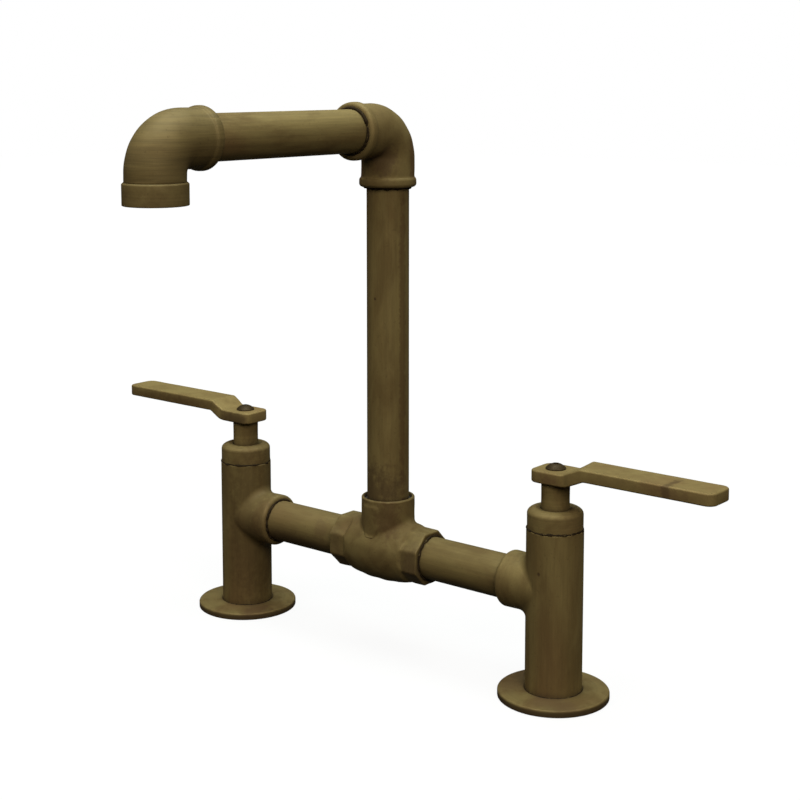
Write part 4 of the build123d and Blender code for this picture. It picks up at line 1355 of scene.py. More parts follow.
    def _swivel_bore(self) -> np.ndarray:
        """The bore for the spout's swivel, flared at the rim: its outline carried round the upright axis.

        Returns:
            Grid of points, outline by angle.
        """
        narrow, wide, core, foot = self.swivel_bore_r, self.socket_bore_r, self.swivel_core_r, self.swivel_foot
        drop, spread, lift = self.flare
        mouth = self.socket_top + lift
        outline = path((core, foot), (narrow, foot), (narrow, self.bush_foot), (wide, self.bush_foot),
                       (wide, self.socket_top - drop), (wide + self.rim + spread, mouth), (core, mouth))
        return turned(outline, (0.0, 0.0), 160)

    def _lock_hole(self, count: int = 32) -> np.ndarray:
        """The hole of the retaining screw through the back of the socket: a circle carried along Y.

        Args:
            count: Steps round the hole.

        Returns:
            Grid of points, end by angle.
        """
        a, (radius, height) = turn(count), self.lock_hole
        y = np.array(self.lock_run)[:, None] + 0.0 * a
        return np.stack([radius * np.cos(a) + 0.0 * y, y, height + radius * np.sin(a) + 0.0 * y], axis=-1)

    def build(self, paints: Paintbox) -> None:
        """Makes the tee as one skin with its bores cut, and dresses it.

        Args:
            paints: The finishes.
        """
        socket = Surface("tee_socket").add(self._socket(), poles=True)
        bore = Surface("swivel_bore").add(self._swivel_bore(), poles=True)
        hole = Surface("lock_hole").add(self._lock_hole(), poles=True)
        body = Surface("bridge_tee_casting").add(self._run(), ring_of_rings=True).join(socket).cut(bore).cut(hole)
        finish = AgedBrass("cast_tee_brass", contrast=0.75, tone=0.9, line_share=0.04, grain=0.8, edge_share=0.12,
                           marks=self.stains_and_shade)
        paints.piece(body.piece("root", "cast_brass", "bridge_tee", 50.0), finish)
        paints.node("bridge_tee", finish)


@dataclass
class Lever:
    """Flat stepped lever: its outline seen from above, with a rounded rim, lifted onto a stepped height.

    Attributes:
        centre_x: Where the pillar's axis is.
        arm: 1 where the arm points right, -1 where it points left.
        under: Height of the hub's underside.
        rise: Height of the step.
        hub_end: How far the hub reaches behind the pillar's axis.
        step: Where the step's foot and head lie along the arm, on the top side.
        skew: How far the head lies nearer at one side of the arm, and farther at the other.
        under_shift: How much farther out the step lies on the underside.
        pinch: How far each side is pinched in, how far past the step's foot, and the pinch's length.
        close_points: The stretch of the arm on which the points lie close.
        dent: The most that the unevenness may lower the faces.
        plain_hub: How far from the pillar's axis the faces stay even.
    """

    side: str
    centre_x: float
    arm: float
    seed: int
    under: float = 104.5
    thickness: float = 5.9
    half_width: float = 9.0
    rise: float = 4.3
    hub_end: float = 9.7
    reach: float = 86.0
    step: Pair = (10.6, 17.6)
    skew: float = 0.0
    under_shift: float = 1.67
    corner: float = 4.4
    rim: float = 0.85
    bend_round: float = 0.9
    pinch: Triple = (0.5, 1.2, 1.6)
    close_points: Pair = (8.0, 22.0)
    wave: float = 9.0
    unevenness: float = 0.035
    dent: float = 0.09
    plain_hub: float = 6.0
    # A lighter copy of the brass: painted light that makes the lever's top read brighter.
    tone: float = 1.12
    stains_and_shade: tuple[Mark, ...] = ()

    def _outline(self) -> tuple[np.ndarray, np.ndarray]:
        """The outline seen from above, a rectangle with rounded corners, and its outward directions.

        Just past the foot of the step, at x0, the half width is w - p exp(-((x - x0) / l)^2), pinched in as by the
        bending.

        Returns:
            Points (distance along the arm, distance across it) and unit directions, both in order round the lever.
        """
        c, w = self.corner, self.half_width
        low, high = -self.hub_end + c, self.reach - c
        near_step, far_step = self.close_points
        along = np.concatenate([np.linspace(low, near_step, 9), np.linspace(near_step, far_step, 36)[1:],
                                np.linspace(far_step, high, 16)[1:]])
        depth, past, length = self.pinch
        waist = w - depth * np.exp(-((along - self.step[0] - past) / length) ** 2)
        far, near = np.radians(np.linspace(-90.0, 90.0, 25)[1:-1]), np.radians(np.linspace(90.0, 270.0, 25)[1:-1])
        lower = np.stack([along, -waist], -1)
        tip = np.stack([high + c * np.cos(far), (w - c) * np.sign(np.sin(far)) + c * np.sin(far)], -1)
        upper = np.stack([along, waist], -1)[::-1]
        hub = np.stack([low + c * np.cos(near), (w - c) * np.sign(np.sin(near)) + c * np.sin(near)], -1)
        points = np.concatenate([lower, tip, upper, hub])
        straight = np.stack([0.0 * along, 0.0 * along - 1.0], -1)
        ways = np.concatenate([straight, np.stack([np.cos(far), np.sin(far)], -1), -straight,
                               np.stack([np.cos(near), np.sin(near)], -1)])
        return points, ways

    def _level(self, along: np.ndarray, across: np.ndarray, shift: float) -> np.ndarray:
        """Height gained by the step, whose head is skewed across the arm as by hand.

        Args:
            along: Distance along the arm.
            across: Distance across it.
            shift: How much farther out the whole step lies.

        Returns:
            The height.
        """
        start, end = self.step
        end = end - self.skew * across / self.half_width
        return self.rise / (end - start) * soft_ramp(along, start + shift, end + shift, self.bend_round)

    def grid(self) -> np.ndarray:
        """The skin: rows go from the underside's middle line out round the rim and back over the top.

        A row inside the rim is the point between the rim and the nearest point of the middle line; a row on the rim
        is inset by e (1 - sin b) and raised by e (1 - cos b). The height of the step is then added.

        Returns:
            Grid of points, row by place round the outline.
        """
        points, ways = self._outline()
        spine = np.stack([np.clip(points[:, 0], -self.hub_end + self.half_width, self.reach - self.half_width),
                          0.0 * points[:, 0]], -1)
        e = self.rim
        shelf = points - e * ways
        b = np.radians(np.linspace(0.0, 90.0, 7))
        inset, lift = e * (1.0 - np.sin(b)), e * (1.0 - np.cos(b))
        spread = np.array([0.0, 0.3, 0.6, 0.85, 0.96])[:, None, None]
        under = spine * (1.0 - spread) + shelf * spread
        rim = points - inset[:, None, None] * ways
        plan = np.concatenate([under, rim, rim[::-1], under[::-1]])
        flat = np.zeros(len(spread))
        height = np.concatenate([flat, lift, self.thickness - lift[::-1], flat + self.thickness])[:, None]
        share = height / self.thickness
        along, across = plan[..., 0], plan[..., 1]
        low, high = self._level(along, across, self.under_shift), self._level(along, across, 0.0)
        z = self.under + height + (1 - share) * low + share * high
        lumps = unevenness(np.stack([along, across, z], -1), self.wave, self.unevenness, self.seed)
        top = np.where(share > 0.5, 1.0, -1.0) * (np.abs(across) < self.half_width)
        z = z + np.clip(lumps, -self.dent, 0.0) * top * np.where(np.abs(along) < self.plain_hub, 0.0, 1.0)
        return np.stack([self.centre_x + self.arm * along, self.arm * across, z], axis=-1)

    def build(self, paints: Paintbox) -> None:
        """Makes the lever and dresses it.

        Args:
            paints: The finishes.
        """
        node = f"{self.side}_lever"
        surface = Surface(f"{self.side}_lever_bar").add(self.grid())
        finish = AgedBrass(f"{self.side}_lever_brass", contrast=0.45, tone=self.tone, line_share=0.05, edge_share=0.16,
                           soil_and_shade_share=0.5, hollow_depth=2.5, marks=self.stains_and_shade)
        paints.piece(surface.piece(f"{self.side}_handle", "bar_brass", node), finish)
        paints.node(node, finish)


@dataclass
class ButtonScrew:
    """Button-head screw: a low dome over a short rim, with a six-sided socket.

    Attributes:
        seat: Height of the lever's top, on which the head sits.
        flat_r: Distance from the axis to the socket's flats.
        lip: How far the socket's lip is rounded, across and down.
        taper: The socket's width at its lip, foot and point, as shares of the lip's.
        depth: Depth of the socket's foot.
        point: Depth of its point below the foot.
        shank: Radius and foot of the shank below the seat.
    """

    side: str
    centre_x: float
    seat: float = 110.4
    head_r: float = 4.8
    head_height: float = 2.8
    rim_height: float = 0.5
    rim_round: float = 0.15
    flat_r: float = 1.25
    lip: Pair = (0.12, 0.22)
    taper: Triple = (1.0, 0.99, 0.35)
    depth: float = 1.5
    point: float = 0.25
    shank: Pair = (2.0, -10.0)

    def grid(self, count: int = 96) -> np.ndarray:
        """The head: rows from its seat up the rim, over the dome to the socket's lip, down its wall and in.

        On the dome, row t is at radius (1 - t) R + t h(a) with h the socket's six-sided outline, and its height is
        that of a sphere through the rim and the crown. The lip is rounded by a small step inwards.

        Args:
            count: Steps round the head.

        Returns:
            Grid of points, row by angle.
        """
        a = turn(count)
        off = np.abs((a + math.pi / 6.0) % (math.pi / 3.0) - math.pi / 6.0)
        socket = self.flat_r / np.cos(off)
        rise = self.head_height - self.rim_height
        ball = (self.head_r ** 2 + rise ** 2) / (2.0 * rise)
        t = np.linspace(0.0, 1.0, 16)[:, None]
        dome = (1 - t) * self.head_r + t * (socket + self.lip[0])
        dome_z = self.head_height - ball + np.sqrt(ball ** 2 - dome ** 2)
        rim = run((self.head_r - self.rim_round, 0.0), (self.head_r, self.rim_round))
        wall = np.array(self.taper)[:, None] * socket
        wall_z = self.head_height - np.array([self.lip[1], self.depth, self.depth + self.point])
        shank_r, shank_z = self.shank
        r = np.concatenate([np.full((1, count), shank_r), rim[:, :1] + 0 * a, dome, wall])
        z = np.concatenate([np.full((1, count), shank_z), rim[:, 1:] + 0 * a, dome_z, wall_z[:, None] + 0 * a])
        return np.stack([self.centre_x + r * np.cos(a), r * np.sin(a), self.seat + z], axis=-1)

    def build(self, paints: Paintbox) -> None:
        """Makes the screw and dresses it.

        Args:
            paints: The finishes.
        """
        node = f"{self.side}_lever_screw"
        surface = Surface(f"{self.side}_button_screw").add(self.grid(), poles=True)
        paints.piece(surface.piece(f"{self.side}_handle", "dark_bronze", node, 30.0), SCREW_FINISH)
        paints.node(node, SCREW_FINISH)


@dataclass
class WovenScreen:
    """The aerator's woven wire screen in its rim.

    Attributes:
        pitch: Distance from wire to wire.
        rim_r: Inner and outer radius of the rim.
        rim_half: Half the rim's height.
    """

    centre_y: float = OUTLET_Y
    height: float = 241.5
    radius: float = 9.5
    pitch: float = 0.8
    wire_r: float = 0.13
    rim_r: Pair = (9.0, 9.58)
    rim_half: float = 0.3

    def _wires(self, crosswise: bool) -> np.ndarray:
        """One set of parallel wires as closed tubes.

        Wire k lies at k pitch across. Its middle line at s is z = +-w cos(pi s / pitch), the sign changing from wire
        to wire and between the two sets, so that the wires go over and under each other.

        Args:
            crosswise: True for the set that runs along Y.

        Returns:
            Array of wires, each a grid of points, station by angle.
        """
        count = int(self.radius / self.pitch)
        k = np.arange(-count, count + 1)[:, None, None]
        off = k * self.pitch
        half = np.sqrt(self.radius ** 2 - off ** 2)
        s = np.linspace(-1.0, 1.0, 8 * count + 1)[None, :, None] * half
        sign = np.where((k % 2 == 0) == crosswise, 1.0, -1.0)
        lift = sign * self.wire_r * np.cos(math.pi * s / self.pitch)
        b = turn(6)[None, None, :]
        side, up = off + self.wire_r * np.cos(b) + 0 * s, lift + self.wire_r * np.sin(b)
        x, y = (side, s + 0 * b) if crosswise else (s + 0 * b, side)
        return np.stack([x, self.centre_y + y, self.height + up], axis=-1)

    def build(self, paints: Paintbox) -> None:
        """Makes the screen and dresses it.

        Args:
            paints: The finishes.
        """
        surface = Surface("aerator_mesh")
        for wires in (self._wires(False), self._wires(True)):
            for wire in wires:
                surface.add(wire, poles=True)
        (near, far), low, high = self.rim_r, self.height - self.rim_half, self.height + self.rim_half
        rim = path((far, low), (far, high), (near, high), (near, low))
        surface.add(turned(rim, (0.0, self.centre_y), 72), ring_of_rings=True)
        paints.piece(surface.piece("spout", "steel_mesh", "aerator_screen"), STEEL)
        paints.node("aerator_screen", STEEL)


class Heading(Enum):
    """The way that a joint's axis runs: two directions across it, then the axis itself."""

    UP = ((1.0, 0.0, 0.0), (0.0, 1.0, 0.0), (0.0, 0.0, 1.0))
    RIGHT = ((0.0, 1.0, 0.0), (0.0, 0.0, 1.0), (1.0, 0.0, 0.0))
    BACK = ((0.0, 0.0, 1.0), (1.0, 0.0, 0.0), (0.0, 1.0, 0.0))


@dataclass
class DirtAndShadeBead:
    """The ragged dark bead that fills a joint all round: dirt, and painted shade where the gap would look dark.

    Attributes:
        radius: Radius of the pipe or pillar.
        heading: The way that its axis runs.
        off: How far outside it the bead's middle lies.
        thick: Radius of the bead itself.
        sway: How far the bead strays along the axis.
    """

    name: str
    centre: Point
    radius: float
    heading: Heading = Heading.UP
    body: str = "root"
    off: float = 0.5
    thick: float = 0.6
    sway: float = 0.08
    seed: int = 0

    def grid(self) -> np.ndarray:
        """The bead's points.

        At angle a and ring angle b the point is (r + g cos b) (u cos a + v sin a) + (h + g sin b) w out from the
        centre, with r the radius of the bead's middle and u, v and w the heading's directions. The girth g and the
        place h along the axis both wander by an unevenness along the ring.

        Returns:
            Grid of points, ring angle by angle.
        """
        u, v, w = (np.array(way) for way in self.heading.value)
        a, b = turn(220), turn(10)[:, None]
        spoke = np.cos(a)[:, None] * u + np.sin(a)[:, None] * v
        middle = self.radius + self.off
        line = np.array(self.centre) + middle * spoke
        girth = self.thick * (1.0 + np.clip(unevenness(line, 2.2, 0.3, self.seed), -0.5, 0.3))
        rise = np.clip(unevenness(line, 3.5, self.sway, self.seed + 1), -2.0 * self.sway, 2.0 * self.sway)
        out, along = middle + girth * np.cos(b), rise + girth * np.sin(b)
        return np.array(self.centre) + out[..., None] * spoke + along[..., None] * w

    def build(self, paints: Paintbox) -> None:
        """Makes the bead and dresses it.

        Args:
            paints: The finishes.
        """
        surface = Surface(f"{self.name}_dirt").add(self.grid(), ring_of_rings=True)
        paints.piece(surface.piece(self.body, "dark_bronze"), JointDirtAndShade())


@dataclass
class ValveStand:
    """One valve stand: flange, pillar, bonnet, neck, lever, screw and the valve inside.

    Attributes:
        x: Where its axis is.
        arm: 1 where its lever points right, -1 where it points left.
        inlet: Radius, depth and pitch of the inlet's thread.
        boss_reach: How far the boss for the bridge's pipe reaches from the axis.
        flange_cone: Radius of the cone's knee, and its height above the rim.
        gasket_groove: Inner radius, outer radius and depth.
        bonnet_chamfer: Width and height of the foot's chamfer.
        bonnet_cone: How much lower the bonnet's ceiling is at its bore than at the neck's hole.
        neck_chamfer: Width and height of the neck's lower chamfer.
        neck_waist: How far the neck is filed in.
        dent: The most that the unevenness may take away.
        bonnet_bead: Dirt under the bonnet: how far outside the pillar, its thickness and its sway.
        flange_bead: Dirt on the flange, the same.
        flange_bead_sunk: How far that dirt lies below the flange's top.
    """

    side: str
    x: float
    arm: float
    seed: int
    pillar_r: float = 13.59
    pillar_top: float = 82.0
    inlet: Triple = (9.32, 16.0, 1.814)
    boss_reach: float = 25.9
    boss_z: float = BRIDGE_Z
    pipe_r: float = PIPE_R
    flange_hole_r: float = 13.69
    flange_r: float = 26.65
    flange_edge: float = 3.5
    flange_top: float = 4.15
    flange_foot_round: float = 0.4
    flange_rim_round: float = 0.9
    flange_cone: Pair = (20.0, 0.18)
    gasket_groove: Triple = (17.0, 23.0, 1.6)
    bonnet_r: float = 13.28
    bonnet_top: float = 92.0
    bonnet_bore_r: float = 11.28
    bonnet_ceiling: float = 89.0
    bonnet_chamfer: Pair = (0.45, 0.6)
    bonnet_cone: float = 3.0
    dish: float = 0.5
    shoulder: float = 4.0
    shoulder_drop: float = 2.9
    neck_hole_r: float = 7.08
    neck_r: float = 6.78
    neck_bore_r: float = 4.06
    neck_foot: float = 89.3
    neck_top: float = 104.5
    neck_chamfer: Pair = (0.28, 0.7)
    neck_edge: float = 0.4
    neck_waist: float = 0.07
    wave: float = 9.0
    dent: float = 0.06
    bonnet_bead: Triple = (-0.6, 0.6, 0.12)
    flange_bead: Triple = (0.07, 0.25, 0.06)
    flange_bead_sunk: float = 0.18
    tone: float = 1.0
    stains_and_shade: tuple[Mark, ...] = ()
    lever_stains: tuple[Mark, ...] = ()
    lever_step: Pair = (10.6, 17.6)
    lever_skew: float = 0.0
    # A lighter copy of the brass for the lever: painted light that makes its top read brighter.
    lever_tone: float = 1.12

    def _flange(self) -> np.ndarray:
        """Traces the flange: groove below, rounded rim, and a top that climbs to the pillar in a soft cone.

        Returns:
            Points (radius, height).
        """
        (near, far, deep), hole, rim, edge = self.gasket_groove, self.flange_hole_r, self.flange_r, self.flange_edge
        foot, bead, top = self.flange_foot_round, self.flange_rim_round, self.flange_top
        knee_r, knee_rise = self.flange_cone
        return profile(path((hole, 0.0), (near, 0.0), (near, deep), (far, deep), (far, 0.0)),
                       arc((rim - foot, foot), foot, -90.0, 0.0, 4), arc((rim - bead, edge - bead), bead, 0.0, 84.0, 8),
                       bend_curve((rim - 0.81, edge), (knee_r, edge + knee_rise), (hole + 0.91, top), 14),
                       bend_curve((hole + 0.91, top), (hole + 0.4, top), (hole, edge + 0.3), 4))

    def _bonnet(self) -> np.ndarray:
        """Traces the bonnet: chamfered foot, plain side, oval shoulder, dished top and the neck's hole.

        Returns:
            Points (radius, height).
        """
        r, foot, top, bore, s = self.bonnet_r, self.pillar_top, self.bonnet_top, self.bonnet_bore_r, self.shoulder
        hole, ceiling, drop, dish = self.neck_hole_r, self.bonnet_ceiling, self.shoulder_drop, top - self.dish
        cut, side = self.bonnet_chamfer
        return profile(path((bore, foot)), bend_curve((r - cut, foot), (r, foot), (r, foot + side), 4),
                       run((r, foot + side), (r, top - drop), 3),
                       arc((0.0, 0.0), 1.0, 0.0, 84.0, 16) * (s, drop) + (r - s, top - drop),
                       bend_curve((r - s + 0.42, top - 0.015), (r - s - 0.7, top + 0.01), (hole + 0.02, dish), 6),
                       path((hole, dish), (hole, ceiling), (bore, ceiling - self.bonnet_cone)))

    def _neck(self) -> np.ndarray:
        """Traces the neck, waisted by filing: its side drawn in by w sin^2 of its share of the height.

        Returns:
            Points (radius, height).
        """
        r, bore, foot, top, edge = self.neck_r, self.neck_bore_r, self.neck_foot, self.neck_top, self.neck_edge
        cut, height = self.neck_chamfer
        side = run((r, foot + height), (r, top - edge), 10)
        side[:, 0] -= self.neck_waist * np.sin(np.linspace(0.0, math.pi, len(side))) ** 2
        return profile(path((bore, foot), (r - cut, foot)), side,
                       bend_curve((r, top - edge), (r - 0.02, top - 0.02), (r - 0.38, top), 3), path((bore, top)))

    def _turned(self, node: str, outline: np.ndarray, body: str, depth: float, paints: Paintbox) -> None:
        """Makes a piece turned about the stand's axis, moved inwards by the unevenness, and dresses it.

        Args:
            node: The CAD node's name without the side.
            outline: Points (radius, height).
            body: CAD body that carries it.
            depth: Root mean square of the unevenness.
            paints: The finishes.
        """
        grid = turned(outline, (self.x, 0.0))
        out = grid - np.array([self.x, 0.0, 0.0])
        out[..., 2] = 0.0
        out /= np.maximum(np.linalg.norm(out, axis=-1, keepdims=True), 1e-6)
        lumps = np.clip(unevenness(grid, self.wave, depth, self.seed), -self.dent, 0.0)
        surface = Surface(f"{self.side}_{node}_turning").add(grid + out * lumps[..., None], ring_of_rings=True)
        node = f"{self.side}_{node}"
        finish = AgedBrass(f"{node}_brass", Brush.ROUND_Z, (self.x, 0.0, 0.0), line_share=0.07, edge_share=0.2,
                           hollow_depth=4.0, marks=self.stains_and_shade)
        paints.piece(surface.piece(body, "turned_brass", node), finish)
        paints.node(node, finish)

    def build(self, paints: Paintbox) -> None:
        """Makes the stand's new pieces and dresses them.

        Args:
            paints: The finishes.
        """
        self._turned("base_flange", self._flange(), "root", 0.02, paints)
        self._turned("bonnet", self._bonnet(), "root", 0.025, paints)
        self._turned("stem_sleeve", self._neck(), f"{self.side}_handle", 0.02, paints)
        on_flange = self.flange_top - self.flange_bead_sunk
        for joint, z, (off, thick, sway), seed in (("bonnet", self.pillar_top, self.bonnet_bead, self.seed + 5),
                                                   ("flange", on_flange, self.flange_bead, self.seed + 7)):
            DirtAndShadeBead(f"{self.side}_{joint}_joint", (self.x, 0.0, z), self.pillar_r, off=off, thick=thick, sway=sway,
                     seed=seed).build(paints)
        # A dark bead in the boss's mouth: painted shade for the gap round the pipe, finished as joint dirt.
        face = self.x - self.arm * self.boss_reach
        DirtAndShadeBead(f"{self.side}_boss_joint", (face, 0.0, self.boss_z), self.pipe_r, Heading.RIGHT,
                 seed=self.seed + 9).build(paints)
        Lever(self.side, self.x, self.arm, self.seed + 3, step=self.lever_step, skew=self.lever_skew,
              tone=self.lever_tone, stains_and_shade=self.lever_stains).build(paints)
        ButtonScrew(self.side, self.x).build(paints)

    def dress(self, paints: Paintbox) -> None:
        """Dresses the CAD nodes that keep their shape.

        Args:
            paints: The finishes.
        """
        own = {
            "pillar": AgedBrass(f"{self.side}_pillar_brass", Brush.ALONG_Z, (self.x, 0.0, 0.0), tone=self.tone,
                                line_share=0.09, edge_share=0.12, marks=self.stains_and_shade, thread=self.inlet),
            "deck_gasket": RUBBER, "seat_seal": RUBBER, "spindle_seals": RUBBER, "fixed_disc": CERAMIC,
            "moving_disc": CERAMIC, "cartridge_body": CLEAN_BRASS, "spindle": CLEAN_BRASS,
        }
        for node, finish in own.items():
            paints.node(f"{self.side}_{node}", finish)


@dataclass
class Bridge:
    """The bridge: the cast tee and the pipe from it to each pillar."""

    tee: Tee = field(default_factory=Tee)
    pipe_r: float = PIPE_R
    # The first and last marks are painted shade on the lower halves of the left and right pipes; the middle one is a
    # brown stain.
    pipe_stains_and_shade: tuple[Mark, ...] = (Mark((-56.0, -7.0, 42.5), (40.0, 14.0, 11.0), (0.03, 0.018, 0.009, 1.0), 0.6, 0.3),
                                     Mark((-38.0, -8.0, 56.0), (5.0, 6.0, 6.0), (0.11, 0.07, 0.03, 1.0), 0.45),
                                     Mark((50.0, -6.0, 41.5), (40.0, 11.0, 8.0), (0.03, 0.018, 0.008, 1.0), 0.45, 0.3))
    seed: int = 61

    def build(self, paints: Paintbox) -> None:
        """Makes the tee and the dark beads at its two mouths, painted shade for the gaps round the pipes.

        Args:
            paints: The finishes.
        """
        self.tee.build(paints)
        # Dark beads in the mouths: painted shade for the gaps round the pipes, finished as joint dirt.
        for side, x in (("left", -self.tee.half_run), ("right", self.tee.half_run)):
            DirtAndShadeBead(f"{side}_tee_joint", (x, 0.0, self.tee.axis_z), self.pipe_r, Heading.RIGHT,
                     seed=self.seed + round(x)).build(paints)

    def dress(self, paints: Paintbox) -> None:
        """Dresses the two pipes.

        Args:
            paints: The finishes.
        """
        finish = AgedBrass("bridge_pipe_brass", Brush.ALONG_X, tone=0.92, line_share=0.1, marks=self.pipe_stains_and_shade)
        for side in ("left", "right"):
            paints.node(f"{side}_bridge_pipe", finish)


@dataclass
class Spout:
    """The spout: riser, elbow, level pipe, elbow, and the swivel in the tee's socket.

    Attributes:
        drop: Length of the front elbow's lower leg from its corner.
    """

    axis_z: float = SPOUT_Z
    outlet_y: float = OUTLET_Y
    pipe_r: float = PIPE_R
    elbow_reach: float = ELBOW_REACH
    drop: float = 17.75
    riser_stains: tuple[Mark, ...] = (
        Mark((0.4, -10.65, 182.5), (0.9, 0.9, 0.9), share=0.85),
        Mark((0.0, -4.0, 84.0), (14.0, 14.0, 17.0), (0.06, 0.036, 0.017, 1.0), 0.6),
        Mark((10.5, -1.2, 160.0), (2.2, 2.6, 110.0), (0.085, 0.042, 0.017, 1.0), 0.5))
    # The middle mark is painted shade inside the rear elbow's bend, under the spout pipe; the other two are red-brown
    # stains.
    rear_stains_and_shade: tuple[Mark, ...] = (Mark((-9.0, -10.0, 245.0), (5.0, 4.0, 7.0), (0.12, 0.045, 0.022, 1.0), 0.6),
                                     Mark((7.0, -12.5, 252.0), (9.0, 8.0, 9.0), (0.075, 0.04, 0.022, 1.0), 0.5),
                                     Mark((12.5, 4.0, 250.0), (3.0, 3.5, 18.0), (0.1, 0.045, 0.018, 1.0), 0.5))
    # The first mark is a red-brown stain; the second is painted shade on the front elbow's lower left side.
    front_stains_and_shade: tuple[Mark, ...] = (Mark((-10.3, -162.3, 254.0), (3.5, 4.0, 5.0), (0.11, 0.04, 0.016, 1.0), 0.5),
                                      Mark((-12.0, -165.0, 250.0), (8.0, 8.0, 13.0), (0.07, 0.045, 0.016, 1.0), 0.4))

    def build(self, paints: Paintbox) -> None:
        """Makes the two elbows and the dark beads at their mouths, painted shade for the gaps round the pipes.

        Args:
            paints: The finishes.
        """
        reach, z = self.elbow_reach, self.axis_z
        Elbow("rear_elbow", (0.0, z), -1.0, reach, spigot=False, seed=5, stains_and_shade=self.rear_stains_and_shade).build(paints)
        # tone=0.78 makes a darker copy of the brass: painted shade for a piece that the lamps light more than the rest.
        Elbow("front_elbow", (self.outlet_y, z), 1.0, self.drop, spigot=True, seed=6, brush=Brush.LEVEL,
              line_share=0.2, tone=0.78, stains_and_shade=self.front_stains_and_shade).build(paints)
        # Dark beads in the mouths: painted shade for the gaps round the pipes, finished as joint dirt.
        for name, centre, heading in (("riser_joint", (0.0, 0.0, z - reach), Heading.UP),
                                      ("spout_rear_joint", (0.0, -reach, z), Heading.BACK),
                                      ("spout_front_joint", (0.0, self.outlet_y + reach, z), Heading.BACK)):
            DirtAndShadeBead(name, centre, self.pipe_r, heading, "spout", off=0.6, thick=0.75, seed=len(name)).build(paints)

    def dress(self, paints: Paintbox) -> None:
        """Dresses the pipes and the swivel.

        Args:
            paints: The finishes.
        """
        own = {"riser_pipe": AgedBrass("riser_brass", Brush.ALONG_Z, line_share=0.1, marks=self.riser_stains),
               "spout_pipe": AgedBrass("spout_pipe_brass", Brush.ALONG_Y, contrast=0.95, line_share=0.13),
               "spout_retainer": SCREW_FINISH, "swivel_bush": DARK_BUSH, "swivel_seals": RUBBER}
        for node, finish in own.items():
            paints.node(node, finish)


@dataclass
class Outlet:
    """The outlet: its ring and the aerator inside.

    Attributes:
        foot: Height of the ring's lower face.
        edge: Radius of its lower outer edge.
        mouth_edge: Width and height of the rounding at the mouth.
        ledge: Height of the ledge that holds the aerator.
        seat: Height of the step on which the elbow's spigot sits.
    """

    y: float = OUTLET_Y
    ring_r: float = 14.285
    foot: float = 238.5
    top: float = 248.3
    bevel: float = 0.65
    edge: float = 0.4
    mouth_r: float = 10.2
    mouth_edge: Pair = (0.3, 0.25)
    ledge: float = 240.9
    bore_r: float = 11.0
    seat: float = 245.5
    spigot_r: float = 11.94
    # Painted shade on the ring's front left side, below the front elbow's.
    stains_and_shade: tuple[Mark, ...] = (Mark((-12.0, -164.0, 244.0), (9.0, 8.0, 12.0), (0.075, 0.046, 0.017, 1.0), 0.4),)

    def _ring(self) -> np.ndarray:
        """Traces the ring: a worn bevel above, a soft edge below, and its ledge and bore inside.

        Returns:
            Points (radius, height).
        """
        r, foot, top, v, e, mouth = self.ring_r, self.foot, self.top, self.bevel, self.edge, self.mouth_r
        out, up = self.mouth_edge
        return profile(path((self.spigot_r, top), (self.spigot_r, self.seat), (self.bore_r, self.seat),
                            (self.bore_r, self.ledge), (mouth, self.ledge)),
                       bend_curve((mouth, foot + up), (mouth, foot), (mouth + out, foot), 3),
                       arc((r - e, foot + e), e, -90.0, 0.0, 4), run((r, foot + e), (r, top - v - 0.15), 4),
                       bend_curve((r, top - v - 0.15), (r - 0.01, top - v), (r - 0.12, top - v + 0.13), 3),
                       bend_curve((r - v + 0.12, top - 0.1), (r - v + 0.03, top), (r - v - 0.14, top), 2))

    def build(self, paints: Paintbox) -> None:
        """Makes the ring and the woven screen.

        Args:
            paints: The finishes.
        """
        surface = Surface("outlet_ring_turning").add(turned(self._ring(), (0.0, self.y)), ring_of_rings=True)
        # tone=0.84 makes a darker copy of the ring's brass: painted shade against the stronger light that the lamps put
        # on it.
        finish = AgedBrass("outlet_ring_brass", Brush.ROUND_Z, (0.0, self.y, 0.0), tone=0.84, line_share=0.07,
                           edge_share=0.22, marks=self.stains_and_shade)
        paints.piece(surface.piece("spout", "turned_brass", "outlet_ring"), finish)
        paints.node("outlet_ring", finish)
        WovenScreen(self.y).build(paints)

    def dress(self, paints: Paintbox) -> None:
        """Dresses the aerator's other parts."""
        for node, finish in {"aerator_washer": RUBBER, "aerator_housing": PLASTIC, "flow_restrictor": PLASTIC}.items():
            paints.node(node, finish)


Assembly = ValveStand | Bridge | Spout | Outlet


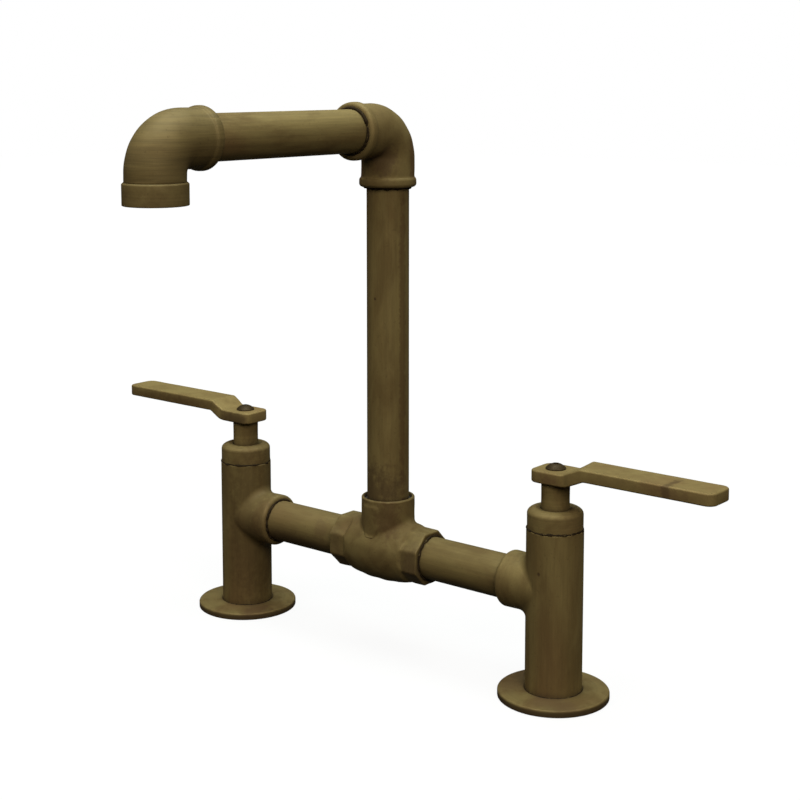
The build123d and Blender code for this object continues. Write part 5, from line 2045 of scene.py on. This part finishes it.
@dataclass
class Faucet:
    """The whole faucet."""

    valve_x: float = VALVE_X
    left_lever_stains: tuple[Mark, ...] = (
        Mark((-148.0, -10.5, 111.0), (60.0, 2.5, 5.0), (0.095, 0.053, 0.02, 1.0), 0.75, 0.6),
        Mark((-100.0, -10.5, 106.0), (19.0, 4.0, 5.5), (0.08, 0.05, 0.022, 1.0), 0.75, 0.6))
    right_lever_stains: tuple[Mark, ...] = (
        Mark((164.5, -7.0, 110.0), (2.4, 16.0, 12.0), (0.06, 0.036, 0.014, 1.0), 0.6),
        Mark((167.5, -10.5, 111.0), (12.0, 3.0, 5.0), (0.11, 0.06, 0.03, 1.0), 0.4),
        Mark((103.0, -11.0, 106.5), (9.0, 3.5, 4.0), (0.12, 0.06, 0.03, 1.0), 0.5))
    # Painted shade: darkens the left pillar's inner side, its boss, and the flange and bonnet beside them, where less
    # light reaches.
    left_pillar_painted_shade: Mark = Mark((-90.0, -3.0, 50.0), (14.0, 24.0, 52.0), (0.07, 0.042, 0.015, 1.0), 0.42)
    flange_stain: Mark = Mark((-84.0, -11.0, 3.5), (8.0, 10.0, 3.0), (0.1, 0.055, 0.027, 1.0), 0.5)
    pillar_stain: Mark = Mark((VALVE_X, -13.6, 63.0), (1.1, 2.0, 1.1), share=0.85)
    face_stain: Mark = Mark((84.0, 0.0, 3.8), (14.0, 22.0, 3.0), (0.12, 0.065, 0.035, 1.0), 0.45, 0.7)
    front_stain: Mark = Mark((112.0, -16.0, 3.8), (14.0, 9.0, 3.0), (0.11, 0.07, 0.035, 1.0), 0.45, 0.7)
    # Painted shade: a dark band round the foot of both flanges' rims, next to the floor.
    rim_painted_shade: Mark = Mark((0.0, 0.0, 0.6), (900.0, 400.0, 2.6), (0.055, 0.034, 0.016, 1.0), 0.75, 0.15)

    def assemblies(self) -> list[Assembly]:
        """Lists the sub-assemblies in the order in which they are made.

        Returns:
            The sub-assemblies.
        """
        return [
            ValveStand("left", -self.valve_x, -1.0, 11, tone=0.92,
                       stains_and_shade=(self.left_pillar_painted_shade, self.flange_stain, self.rim_painted_shade),
                       # The left lever's brass is lighter still: painted light on its top.
                       lever_stains=self.left_lever_stains, lever_step=(9.8, 16.9), lever_tone=1.26),
            ValveStand("right", self.valve_x, 1.0, 41,
                       stains_and_shade=(self.pillar_stain, self.face_stain, self.front_stain, self.rim_painted_shade),
                       lever_stains=self.right_lever_stains, lever_step=(8.6, 16.8), lever_skew=1.7),
            Bridge(), Spout(), Outlet(),
        ]

    def build(self, paints: Paintbox) -> None:
        """Builds and dresses every sub-assembly.

        Args:
            paints: The finishes.
        """
        for assembly in self.assemblies():
            assembly.build(paints)
            assembly.dress(paints)
            report.info("%s: done", type(assembly).__name__)


def main() -> None:
    """Builds the stage and the faucet."""
    logging.basicConfig(level=logging.INFO, format="%(name)s: %(message)s")
    Studio().build()
    Faucet().build(Paintbox())


if __name__ == "__main__":
    main()
